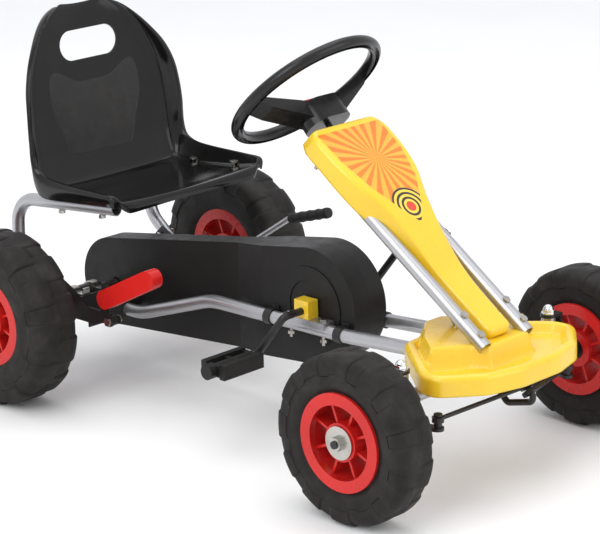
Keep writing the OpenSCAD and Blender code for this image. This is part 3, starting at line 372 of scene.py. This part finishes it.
# %% Tyre rubber
def rubber(name):
    """Three tones along a coarse noise, and a bump of fine grain plus the blocks of the tread."""
    made, tree, bsdf = shader(name, 0.62, shine=0.2)
    tones = [(0.36, (0.012, 0.0105, 0.0095)), (0.52, (0.018, 0.016, 0.0145)),
             (0.72, (0.031, 0.028, 0.0255))]
    tree.links.new(ramp(tree, noise(tree, 26, 8.0), tones), bsdf.inputs["Base Color"])
    tree.links.new(spread(tree, noise(tree, 60, 6.0), 0.5, 0.72), bsdf.inputs["Roughness"])
    tread = node(tree, "ShaderNodeAttribute", attribute_name="tread").outputs["Fac"]
    block = spread(tree, tread, 0, 1, 0.0, 0.5)
    bump(tree, bsdf, maths(tree, "MULTIPLY_ADD", noise(tree, 500, 6.0), 0.12, block), 0.0022, 0.8)
    return made


tyre_rubber = rubber("tyre_rubber")
print("rubber", tyre_rubber.name)

# %% [markdown]
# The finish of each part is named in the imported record. Every exact part takes the material
# of its slot, so a part keeps its shape and only its surface changes. The seat has a material
# of its own further down, and its exact part, which isn't shown, takes the wheel's.

# %% Finishes on the exact parts
made_here = (silver_tube, zinc, chrome, dark_sheet, black_metal, red_plastic, red_grip,
             yellow_plastic, wheel_plastic, black_plastic, grip_rubber, tyre_rubber)
by_slot = {made.name: made for made in made_here}
by_slot["seat_plastic"] = wheel_plastic
slot_of = {part["node"]: part["material_slot"] for part in record["subparts"]}
for name, part in frame["nodes"].items():
    part.data.materials.clear()
    part.data.materials.append(by_slot[slot_of[name]])
print("finishes on", len(frame["nodes"]), "parts")

# %% [markdown]
# The seat is one moulded shell, a smooth bucket with a rolled rim all the way round. It could
# be sculpted or modelled with subdivision, but then its sizes would be hard to hold. It is
# drawn as cross sections instead, from the front lip over the seat to the top of the back. Each is
# given by its centre line, its half width, the top of its side bolster and the bottom of its
# skirt, and thirteen stations say how a section goes from the middle out to the skirt.

# %% Sections of the seat
station = np.array([  # share of the half width, dish, bolster, skirt, inward, under
    [0, 0, 0, 0, 0, 1],
    [.25, .06, 0, 0, 0, 1],
    [.48, .23, 0, 0, 0, 1],
    [.66, .44, 0, 0, 0, 1],
    [.78, .6, .02, 0, -.1, 1],
    [.85, .6, .08, 0, -.4, .9],
    [.895, .4, .4, 0, -.75, .65],
    [.93, .1, .84, 0, -.7, .7],
    [.955, 0, 1, 0, -.1, 1],
    [.98, 0, .95, .05, .6, .8],
    [1, 0, .75, .25, 1, .2],
    [.99, 0, .37, .63, 1, 0],
    [.968, 0, 0, 1, 1, 0]])
section = np.array([  # centre x and z, half width, bolster x and z, skirt x and z, in mm
    [172, 321, 166, 170.5, 335, 170, 331.5],
    [173, 329, 169, 171, 345.5, 169, 334],
    [169.5, 334, 171.5, 167, 352, 164.5, 335.5],
    [163, 334, 173, 159, 353.5, 157, 334],
    [140, 330.5, 173, 140, 353.5, 140, 332],
    [100, 326.5, 173, 100, 353.5, 100, 328.5],
    [60, 322.6, 173, 60, 353.5, 60, 325],
    [25, 319.5, 173, 27, 354.5, 23, 321.5],
    [0, 318.8, 173, 8, 357, 1, 320],
    [-18, 321.5, 173, -6, 362, -16, 325],
    [-30, 330, 173, -15, 369, -27, 343],
    [-38, 347, 173, -20, 378, -31, 365],
    [-44, 367, 173, -23, 390, -33, 385],
    [-48, 392, 173, -24, 406, -33, 404],
    [-52, 422, 173, -25, 427, -34, 426],
    [-56, 456, 171, -28, 456, -37, 456],
    [-61, 492, 166, -34, 492, -43, 492],
    [-66, 526, 153, -43, 526, -52, 526],
    [-71, 556, 133, -55, 555, -64, 555],
    [-75, 580, 112, -66, 578.5, -76, 578],
    [-79, 597, 91, -75, 596.5, -86, 594],
    [-83, 607, 72, -81, 606.5, -92, 604],
    [-88, 612, 54, -87, 612, -97, 609]], float)
print("seat", len(section), "sections of", len(station), "stations a side")

# %% Upper and under side of the seat
seat_wall = 4.0
dish_depth = 8.0
front_fade, top_fade = 3, 5


def seat_half(under):
    """Points of half the seat: each is its row's centre, bolster top and skirt mixed by the station's
    shares, plus the dish along the row's normal. The under side (under = 1) is the same points
    moved by the wall, a move that fades to straight through at the front lip and the top edge."""
    n = len(section)
    i = np.arange(n)
    edge = np.maximum(0, np.maximum(1 - i / front_fade, 1 - (n - 1 - i) / top_fade))[:, None]
    centre, bolster, skirt = section[:, None, 0:2], section[:, None, 3:5], section[:, None, 5:7]
    tangent = unit(np.gradient(section[:, 0:2], axis=0))
    normal = np.stack([tangent[:, 1], -tangent[:, 0]], 1)[:, None, :]
    through = np.where((i < n // 2)[:, None, None], normal, np.array([0.2, 0.98]))
    share, dish, b, s, inward, below = (station[None, :, k] for k in range(6))
    lip = (i[:, None] < front_fade) & (np.arange(len(station))[None, :] > 9)
    share = np.where(lip, 1.0, share)
    xz = ((1 - b - s)[..., None] * (centre + (dish * dish_depth)[..., None] * normal)
          + b[..., None] * bolster + s[..., None] * skirt)
    y = share * section[:, None, 2] - under * (1 - edge) * inward * seat_wall
    moved = ((1 - edge) * below)[..., None] * normal + edge[..., None] * through
    xz = xz - under * seat_wall * moved
    return np.stack([xz[..., 0], y * np.ones_like(xz[..., 0]), xz[..., 1]], -1)


def both_sides(half):
    """Mirrors a half across the middle plane, keeping one middle line."""
    return np.concatenate([half[:, :0:-1] * [1, -1, 1], half], 1)


def fine(p):
    """Four smooth steps along each row and four across the rows."""
    along = smooth_rows(p, 4)
    return smooth_rows(along.transpose(1, 0, 2), 4).transpose(1, 0, 2)


# %% Closed shell of the seat
top, low = fine(both_sides(seat_half(0))), fine(both_sides(seat_half(1)))
rows, cols = top.shape[:2]
count = rows * cols
border = np.concatenate([np.arange(cols), np.arange(1, rows) * cols + cols - 1,
                         (rows - 1) * cols + np.arange(cols - 2, -1, -1), np.arange(rows - 2, 0, -1) * cols])
after = np.roll(border, -1)
edge_faces = np.stack([border, after, after + count, border + count], 1)
seat_points = np.concatenate([top.reshape(-1, 3), low.reshape(-1, 3)])
seat_faces = np.concatenate([grid_faces(rows, cols), grid_faces(rows, cols, count)[:, ::-1], edge_faces])
seat = put_in("seat_shell", from_axle(seat_points), seat_faces, 50)

# %% [markdown]
# The oval hand hole in the back could be left out of the grid, but its round ends would turn
# ragged. A boolean gives a clean edge: a stadium profile is carried straight through the
# shell, square to the back. The cutter is a closed tube, and it goes once the cut is applied.

# %% Hand hole
def stadium(half_long, radius, n):
    """Outline of a slot: cosine and sine of the angle times radius, with each half of the circle
    moved out by half_long less radius."""
    a = np.linspace(0, 2 * np.pi, n, endpoint=False) + np.pi / n
    out = np.cos(a) * radius + np.sign(np.cos(a)) * (half_long - radius)
    return np.stack([out, np.sin(a) * radius], 1)


def cut(piece, cutter):
    """Applies a boolean difference and removes the cutter."""
    made = piece.modifiers.new("hole", "BOOLEAN")
    made.operation, made.object, made.solver = "DIFFERENCE", cutter, "EXACT"
    bpy.context.view_layer.update()
    solved = piece.evaluated_get(bpy.context.evaluated_depsgraph_get())
    mesh = bpy.data.meshes.new_from_object(solved)
    piece.modifiers.clear()
    piece.data = mesh
    bpy.data.objects.remove(cutter)


hole_centre, hole_half, hole_end_r, hole_reach = np.array([-70, 0, 546]), 63, 25, 60
slot = stadium(hole_half, hole_end_r, 64)
tilt = math.radians(79)
up_back = np.array([-math.cos(tilt), 0, math.sin(tilt)])
square_to_back = np.array([math.sin(tilt), 0, math.cos(tilt)])
middle = hole_centre + slot[:, :1] * np.array([0, 1, 0]) + slot[:, 1:] * up_back
near, far_side = middle - hole_reach * square_to_back, middle + hole_reach * square_to_back
near_cap, far_cap = (np.broadcast_to(line.mean(0), line.shape) for line in (near, far_side))
tube = np.stack([near_cap, near, far_side, far_cap])
cutter = put_in("cutter", from_axle(tube.reshape(-1, 3)), grid_faces(4, len(slot), round_cols=True))
cut(seat, cutter)
seat.data.set_sharp_from_angle(angle=math.radians(50))
print("seat after the cut", len(seat.data.vertices), "points")

# %% [markdown]
# The middle of the seat back is a matt panel in an otherwise glossy moulding. It could be a
# second material on its own faces, but its edge would follow the grid. How far a point lies
# inside the panel's outline is kept as an attribute instead, so the material can change from
# gloss to grain along a crisp line, with a fine groove on it.

# %% Outline of the matt panel
def panel_depth(y, z):
    """Millimetres inside the panel: least distance to its sides, its bottom and its dipped top edge,
    with corners rounded by a soft minimum."""
    half = 70 + 28 * step(z, 365, 470) - 3 * step(z, 480, 510)
    top_edge = 484 + 26 * step(np.abs(y), 25, 90)
    d = np.stack([half - np.abs(y), z - 365, top_edge - z])
    corner = 7.0
    return -corner * np.log(np.exp(-np.clip(d, -60, 60) / corner).sum(0))


p = points_of(seat.data)
keep(seat.data, "panel", panel_depth(p[:, 1] / MM, p[:, 2] / MM))
print("points in the panel", int((panel_depth(p[:, 1] / MM, p[:, 2] / MM) > 0).sum()))

# %% Seat plastic
seat_plastic, tree, bsdf = shader("seat_plastic", 0.12, coat=0.1, shine=0.28)
inside = node(tree, "ShaderNodeAttribute", attribute_name="panel").outputs["Fac"]
in_panel = spread(tree, inside, 0, 1, -0.6, 0.6)
gloss_tone = ramp(tree, noise(tree, 12), [(0.3, (0.0045, 0.0042, 0.004)), (0.7, (0.0075, 0.007, 0.0066))])
matt_tone = ramp(tree, noise(tree, 40, 6), [(0.3, (0.017, 0.0155, 0.0145)), (0.7, (0.026, 0.024, 0.022))])
tree.links.new(mixed(tree, in_panel, gloss_tone, matt_tone), bsdf.inputs["Base Color"])
gloss_rough = spread(tree, noise(tree, 30, 4), 0.09, 0.18)
matt_rough = spread(tree, noise(tree, 90, 4), 0.48, 0.62)
tree.links.new(between(tree, in_panel, gloss_rough, matt_rough), bsdf.inputs["Roughness"])
off_groove = spread(tree, maths(tree, "ABSOLUTE", inside), 0, 1, 0, 1.6)
grain_depth = spread(tree, inside, 0.02, 0.5, -0.6, 0.6)
bump(tree, bsdf, maths(tree, "MULTIPLY_ADD", noise(tree, 900, 5), grain_depth, off_groove), 0.0006, 0.6)
seat.data.materials.clear()
seat.data.materials.append(seat_plastic)
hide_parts("seat")
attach(seat, "frame")
print("seat finished with", seat_plastic.name)

# %% [markdown]
# A tyre is a profile turned round the axle. Blocks of tread stand on both shoulders, half a
# block out of step. They could be separate boxes, but real ones are moulded in one piece with
# the wall. So the profile at each angle is either the groove's line or the block's, and the
# two are mixed by how far round the pitch the point is, which leaves steep block sides.

# %% Profile of a tyre
lugs, rings_round = 12, 384
rim_line = np.array([[66, -25.0], [70, -24.5], [70, 24.5], [66, 25.0]])


def tyre_lines(radius, width, tread):
    """Groove line and block line from the bead to the crown as (radius, half width), in mm.
    The groove is the block's line sunk by tread, less and less towards the middle."""
    wall = np.array([[65.3, 29.7], [70, 29.9], [75, .40 * width], [78, .42 * width], [82, .45 * width],
                     [85, .462 * width], [(radius + 55) / 2, .476 * width], [radius - 30, .472 * width]])
    shoulder = np.array([[radius - 26.5, .474 * width], [radius - 24, .497 * width],
                         [radius - 18, .49 * width], [radius - 12, .475 * width],
                         [radius - 7, .45 * width], [radius - 3.5, .40 * width],
                         [radius - .9, .33 * width], [radius, .26 * width],
                         [radius, .12 * width], [radius - .2, .055 * width]])
    sunk = np.array([[1, .35]]) * tread * np.linspace(1, 0.15, len(shoulder))[:, None] ** 0.5
    return np.concatenate([wall, shoulder - sunk]), np.concatenate([wall, shoulder])


def off_block(angle, late):
    """How far round the pitch a point is from the middle of its block, 0 to a half."""
    return np.abs((angle / (2 * np.pi) * lugs + late) % 1 - 0.5)


print("front tyre's block line", tyre_lines(127.5, 73, 3.4)[1].round(1).tolist()[-3:])

# %% Tyres
def tyre(name, radius, width, tread, centre):
    """Turns the mixed line round the axle: x is the centre plus r times the cosine of the angle,
    z the centre plus r times the sine, and y the half width, to each side."""
    groove, block = tyre_lines(radius, width, tread)
    a = np.linspace(0, 2 * np.pi, rings_round, endpoint=False)
    sides = []
    for side, late in ((1, 0.0), (-1, 0.5)):
        on = (1 - step(off_block(a, late), 0.29, 0.335))[:, None, None]
        sides.append((groove[None] * (1 - on) + block[None] * on) * [1, side])
    inner = np.broadcast_to(rim_line, (rings_round, *rim_line.shape))
    whole = np.concatenate([sides[0], sides[1][:, ::-1], inner], 1)
    r, y = np.minimum(whole[..., 0], radius - 0.01), whole[..., 1]
    xyz = np.stack([r * np.cos(a)[:, None], y, r * np.sin(a)[:, None]], -1) * MM + centre
    faces = grid_faces(rings_round, whole.shape[1], round_rows=True, round_cols=True)
    piece = put_in(name, xyz.reshape(-1, 3), faces, 32)
    piece.data.materials.append(tyre_rubber)
    return piece


def mark_tread(piece, radius, centre):
    """Stores 1 on the blocks and 0 in the grooves, on the wall and along the middle of the crown."""
    p = (points_of(piece.data) - centre) / MM
    out = np.hypot(p[:, 0], p[:, 2])
    apart = off_block(np.arctan2(p[:, 2], p[:, 0]), np.where(p[:, 1] > 0, 0.0, 0.5))
    on_tread = step(out, radius - 27, radius - 25) * step(np.abs(p[:, 1]), 3, 6)
    keep(piece.data, "tread", (1 - step(apart, 0.28, 0.34)) * on_tread)


rear_size, front_size = (142, 91, 4.2), (127.5, 73, 3.4)
for cad, body, size in (("tyre_rr", "rear_axle", rear_size), ("tyre_rl", "rear_axle", rear_size),
                        ("tyre_fr", "wheel_fr", front_size), ("tyre_fl", "wheel_fl", front_size)):
    piece = tyre(cad + "_tread", *size, mid(cad))
    mark_tread(piece, size[0], mid(cad))
    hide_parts(cad)
    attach(piece, body)

# %% [markdown]
# The fairing is one sheet moulded to a spoon shape: broad at the top with rounded corners, a
# waist, and a narrow trunk that runs down to the bumper and closes in a round nose. Bevelled
# boxes would leave creases where it narrows. Its face is flat across and rolls over into short
# sides, so that section is carried down the face's own line, growing and shrinking with the
# half width, and a modifier then gives the sheet its wall.

# %% Lines of the fairing
face_line = np.array([[522, 494], [566, 463], [613, 427], [652, 392],
                      [690, 352], [741, 300], [826, 238]], float)
skirt_line = np.array([[500, 470], [552, 432], [604, 384], [644, 346],
                       [690, 306], [741, 268], [805, 222]], float)
half_at = np.array([[480, 79], [522, 80], [566, 79], [590, 75], [613, 67],
                    [630, 57], [652, 46], [690, 34], [741, 28], [826, 25]], float)
roll_r, lip_r, nose_r = 9.0, 7.0, 15.0
corner_r, corner_run, lip_tuck = 26, 30, 9
sheet_wall = 3.0


def fairing_rows():
    """Rows down the fairing: origin on the face, direction of the sides, their depth and the half width.
    A quarter turn leads in over the top lip, and another closes the nose: along the face by r times
    the sine, and towards the skirt by r less r times the cosine."""
    face, skirt = smooth_rows(face_line, 22), smooth_rows(skirt_line, 22)
    t, n = unit(np.gradient(face, axis=0)), unit(skirt - face)
    deep = np.linalg.norm(skirt - face, axis=1)
    width = smooth_rows(half_at, 12)
    half = np.interp(face[:, 0], width[:, 0], width[:, 1])
    run = np.concatenate([[0], np.cumsum(np.linalg.norm(np.diff(face, axis=0), axis=1))])
    half = half - corner_r * (1 - np.sqrt(1 - np.clip(1 - (run + lip_r) / corner_run, 0, 1) ** 2))
    f = np.linspace(np.pi / 2, 0, 9)[:-1, None]
    g = np.linspace(0, np.pi / 2, 15)[1:, None]
    lip = face[0] - t[0] * lip_r * np.sin(f) + n[0] * lip_r * (1 - np.cos(f))
    nose = face[-1] + t[-1] * nose_r * np.sin(g) + n[-1] * nose_r * (1 - np.cos(g))
    f, g = f[:, 0], g[:, 0]
    origin = np.concatenate([lip, face, nose])
    side = np.concatenate([np.repeat(n[:1], len(lip), 0), n, np.repeat(n[-1:], len(nose), 0)])
    depth = np.concatenate([deep[0] - lip_r * (1 - np.cos(f)), deep, deep[-1] - nose_r * (1 - np.cos(g))])
    closing = 0.35 + 0.65 * np.sqrt(np.cos(g) + 0.0001)
    half = np.concatenate([half[0] - lip_tuck * np.sin(f) ** 2, half, half[-1] * closing])
    return origin, side, depth, half, face, run


def fairing_section(half, depth):
    """Across a row: flat face, a quarter circle of radius roll_r, then straight down.
    Returns the distance from the middle and the depth below the face."""
    r = np.minimum(roll_r, half * 0.5)[:, None]
    h, d = half[:, None], depth[:, None]
    flat = np.linspace(0, 1, 18)[None, :-1]
    turn = np.linspace(0, np.pi / 2, 10)[None, :]
    down = np.linspace(0, 1, 8)[None, 1:]
    y = np.concatenate([flat * (h - r), h - r + r * np.sin(turn), h * np.ones_like(down)], 1)
    z = np.concatenate([h * np.zeros_like(flat), r * (1 - np.cos(turn)),
                        r + down * (np.maximum(d, r + 1) - r)], 1)
    return np.concatenate([-y[:, :0:-1], y], 1), np.concatenate([z[:, :0:-1], z], 1)


# %% Sheet of the fairing
def face_up(piece):
    """Turns an open sheet over if more of it faces down than up."""
    normals = np.zeros(len(piece.data.polygons) * 3, np.float32)
    piece.data.polygons.foreach_get("normal", normals)
    if normals[2::3].sum() < 0:
        piece.data.flip_normals()


def give_wall(piece, thickness):
    """Thickens a sheet towards its inside, by a modifier."""
    wall = piece.modifiers.new("wall", "SOLIDIFY")
    wall.thickness, wall.offset = thickness * MM, -1.0


origin, side, depth, half, face_fine, face_run = fairing_rows()
across, dropped = fairing_section(half, depth)
xz = origin[:, None, :] + dropped[..., None] * side[:, None, :]
sheet = np.stack([xz[..., 0], across, xz[..., 1]], -1)
fairing = put_in("fairing_shell", from_axle(sheet.reshape(-1, 3)), grid_faces(*sheet.shape[:2]), 60)
face_up(fairing)
give_wall(fairing, sheet_wall)
print("face of the fairing", round(face_run[-1], 1), "mm long")

# %% [markdown]
# A printed label covers the fairing's face: a plain sunburst in two oranges, and rings low
# down at its tip. It could be an image, but drawn by the material it stays sharp at any
# distance. Each point keeps its place on the face, and the rays are a sine of the angle about
# the burst's middle, as the rings are a sine of the distance from theirs.

# %% Places on the label
label_outline = np.array([[-69, 6], [69, 6], [66, 66], [50, 122], [20, 176],
                          [0, 200], [-20, 176], [-50, 122], [-66, 66]], float)
off_label = -9.0


def inside_of(y, s):
    """Distance inside a convex outline: the least distance to its sides."""
    edge = np.roll(label_outline, -1, 0) - label_outline
    normal = unit(np.stack([-edge[:, 1], edge[:, 0]], 1))
    return ((np.stack([y, s], -1)[:, None, :] - label_outline[None]) * normal[None]).sum(-1).min(1)


p = points_of(fairing.data) / MM
x_axle = p[:, 0] - rear_x / MM
along = np.interp(x_axle, face_fine[:, 0], face_run)
on_face = np.abs(np.interp(x_axle, face_fine[:, 0], face_fine[:, 1]) - p[:, 2]) < sheet_wall / 2
in_outline = np.where(on_face, inside_of(p[:, 1], along), off_label)
keep_vector(fairing.data, "label", np.stack([p[:, 1], along, in_outline], 1))
print("points on the label", int((in_outline > 0).sum()))

# %% Label of the fairing
burst_y, burst_s, ray_count = 4.0, 74.0, 22.0
rings_s, ring_rate, rings_r, bull_r, print_edge = 170.0, 0.72, 34, 8, 0.6
label, tree, bsdf = shader("fairing_label", 0.3, coat=0.3)
parts = node(tree, "ShaderNodeSeparateXYZ")
tree.links.new(node(tree, "ShaderNodeAttribute", attribute_name="label").outputs["Vector"], parts.inputs[0])
y_at, s_at, in_label = parts.outputs
angle = maths(tree, "ARCTAN2", maths(tree, "SUBTRACT", s_at, burst_s), maths(tree, "SUBTRACT", y_at, burst_y))
rays = spread(tree, maths(tree, "SINE", maths(tree, "MULTIPLY", angle, ray_count)), 0, 1, -0.12, 0.12)
burst = mixed(tree, rays, (0.74, 0.19, 0.008), (0.84, 0.40, 0.03))
down_sq = maths(tree, "POWER", maths(tree, "SUBTRACT", s_at, rings_s), 2.0)
far = maths(tree, "SQRT", maths(tree, "ADD", down_sq, maths(tree, "POWER", y_at, 2.0)))
bands = spread(tree, maths(tree, "SINE", maths(tree, "MULTIPLY", far, ring_rate)), 0, 1, -0.15, 0.15)
rings = mixed(tree, bands, (0.03, 0.022, 0.018), (0.90, 0.60, 0.05))
rings = mixed(tree, spread(tree, far, 1, 0, bull_r, bull_r + print_edge), rings, (0.66, 0.05, 0.02))
printed = mixed(tree, spread(tree, far, 1, 0, rings_r, rings_r + print_edge), burst, rings)
plain = ramp(tree, noise(tree, 5, 5), [(0.3, yellow_dark), (0.7, yellow_light)])
tree.links.new(mixed(tree, spread(tree, in_label, 0, 1, 0, 0.7), plain, printed), bsdf.inputs["Base Color"])
tree.links.new(spread(tree, noise(tree, 30, 6), 0.22, 0.36), bsdf.inputs["Roughness"])
waves = maths(tree, "MULTIPLY", noise(tree, 120, 4), 0.6)
bump(tree, bsdf, maths(tree, "ADD", spread(tree, in_label, 0, 0.4, 0, 0.7), waves), 0.0002, 0.3)
fairing.data.materials.append(label)
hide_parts("fairing")
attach(fairing, "frame")
print("fairing finished with", label.name)

# %% [markdown]
# The bumper is a wide moulded tray: a rounded rim round a lower deck, with a raised saddle in
# the middle that the column tubes land on. Booleans of rounded blocks would need bevels at
# every join. Its outline is star shaped about one point, so the surface is a fan of lines from
# that point to the rim and down the wall. The height at each point comes from its distance
# to the rim's outline and to the saddle's, by smooth steps.

# %% Distances to the bumper's outlines
def to_line(p, a, b):
    """Distance from points to the segment from a to b."""
    ab = b - a
    t = np.clip(((p - a) @ ab) / (ab @ ab + 1e-9), 0, 1)
    return np.linalg.norm(p - a - t[..., None] * ab, axis=-1)


def to_shape(p, half_outline, radius):
    """Distance to a closed outline mirrored about the middle, negative inside, grown by radius.
    A point is inside where a line from it crosses the outline an odd number of times."""
    q = np.stack([p[..., 0], np.abs(p[..., 1])], -1)
    pts = np.asarray(half_outline, float)
    d = np.min([to_line(q, a, b) for a, b in zip(pts[:-1], pts[1:])], axis=0)
    inside = np.zeros(d.shape, bool)
    ring = np.concatenate([pts, pts[:1]])
    for a, b in zip(ring[:-1], ring[1:]):
        astride = (a[1] > q[..., 1]) != (b[1] > q[..., 1])
        crossing = (b[0] - a[0]) * (q[..., 1] - a[1]) / (b[1] - a[1] + 1e-9) + a[0]
        inside ^= astride & (q[..., 0] < crossing)
    return np.where(inside, -d, d) - radius


wing = [(885, -1), (885, 40), (871, 92), (832, 139), (818, 137), (722, 58), (716, -1)]
saddle = [(842, -1), (842, 44), (818, 60), (786, 104), (744, 70), (700, 14), (700, -1)]
wing_r, saddle_r = 24, 14
deck_z, wing_z, saddle_z, foot_z = 187.0, 201.0, 219.5, 170.0
rim_from, rim_to, saddle_slope, edge_r = 12, 26, 13, 9
hub = np.array([800.0, 0.0])
print("distance of the fan's point inside the wings", round(float(-to_shape(hub, wing, wing_r)), 1), "mm")

# %% Outline of the bumper
fan_n, out_n = 320, 72
a = np.linspace(0, 2 * np.pi, fan_n, endpoint=False)
ray = np.stack([np.cos(a), np.sin(a)], 1)
reach = np.linspace(10, 220, 800)
probe = hub + ray[:, None, :] * reach[None, :, None]
covered = np.minimum(to_shape(probe, wing, wing_r), to_shape(probe, saddle, saddle_r)) < 0
limit = reach[covered.shape[1] - 1 - np.argmax(covered[:, ::-1], axis=1)]
kernel = np.hanning(11)
limit = np.convolve(np.concatenate([limit[-5:], limit, limit[:5]]), kernel / kernel.sum(), "valid")
print("bumper reaches", round(limit.min(), 1), "to", round(limit.max(), 1), "mm from its middle")

# %% Bumper
u = 1 - (1 - np.linspace(0, 1, out_n)) ** 1.5
deck = hub + ray[:, None, :] * (limit[:, None] * u[None, :])[..., None]
from_wing, from_saddle = to_shape(deck, wing, wing_r), to_shape(deck, saddle, saddle_r)
from_edge = (limit[:, None] * (1 - u[None, :])) * 0.92
height = deck_z + (wing_z - deck_z) * (1 - step(-from_wing, rim_from, rim_to))
height = height + (saddle_z - height) * step(-from_saddle, 0, saddle_slope)
height = height - edge_r * (1 - np.sqrt(1 - np.clip(1 - from_edge / edge_r, 0, 1) ** 2))
wall_z = height[:, -1:] + (foot_z - height[:, -1:]) * np.linspace(0, 1, 9)[None, 1:]
rim_xy = np.repeat(deck[:, -1:], 8, 1)
upper = np.concatenate([deck, height[..., None]], 2)
skirt = np.concatenate([rim_xy, wall_z[..., None]], 2)
tray = np.concatenate([upper, skirt], 1)
tray_faces = grid_faces(*tray.shape[:2], round_rows=True)
bumper = put_in("bumper_tray", from_axle(tray.reshape(-1, 3)), tray_faces, 60)
face_up(bumper)
give_wall(bumper, sheet_wall)
bumper.data.materials.append(yellow_plastic)
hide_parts("bumper")
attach(bumper, "frame")

# %% [markdown]
# The studio is a wide pale floor under a white sky. Three soft square lights stand round the
# kart: the key on its right, a weaker fill ahead on the other side of the camera, and a wide
# one overhead. Large lights give long soft highlights on the seat's bolsters and the tubes,
# where a lamp would leave small hard spots.

# %% Studio
def panel_light(name, place, aim, size, power):
    """A square area light at place, turned towards aim."""
    data = bpy.data.lights.new(name, "AREA")
    data.shape, data.size, data.energy = "SQUARE", size, power
    made = bpy.data.objects.new(name, data)
    bpy.context.collection.objects.link(made)
    made.location = place
    made.rotation_euler = (made.location - Vector(aim)).to_track_quat("Z", "Y").to_euler()
    return made


floor_half = 30
mesh = bpy.data.meshes.new("floor")
mesh.from_pydata([(-floor_half, -floor_half, 0), (floor_half, -floor_half, 0),
                  (floor_half, floor_half, 0), (-floor_half, floor_half, 0)], [], [(0, 1, 2, 3)])
floor = bpy.data.objects.new("floor", mesh)
floor.location.z = cad_box[0][2]
bpy.context.collection.objects.link(floor)
mesh.materials.append(finish("floor_paper", (0.86, 0.86, 0.85), (0.89, 0.89, 0.88), 0.75,
                             drift=2, grain=40, depth=0.0001))
lights = [panel_light("key", (0.6, -3.2, 3.0), (0, 0, 0.3), 2.6, 62),
          panel_light("fill", (3.2, 0.8, 1.8), (0, 0, 0.3), 2.4, 26),
          panel_light("top", (-0.4, 0.3, 3.6), (0, 0, 0.2), 3.2, 45)]
world = bpy.data.worlds.new("studio")
world.use_nodes = True
sky = world.node_tree.nodes["Background"]
sky.inputs["Color"].default_value = (0.95, 0.96, 1, 1)
sky.inputs["Strength"].default_value = 0.95
bpy.context.scene.world = world
bpy.context.scene.view_settings.view_transform = "Standard"
print("lights", [light.name for light in lights])
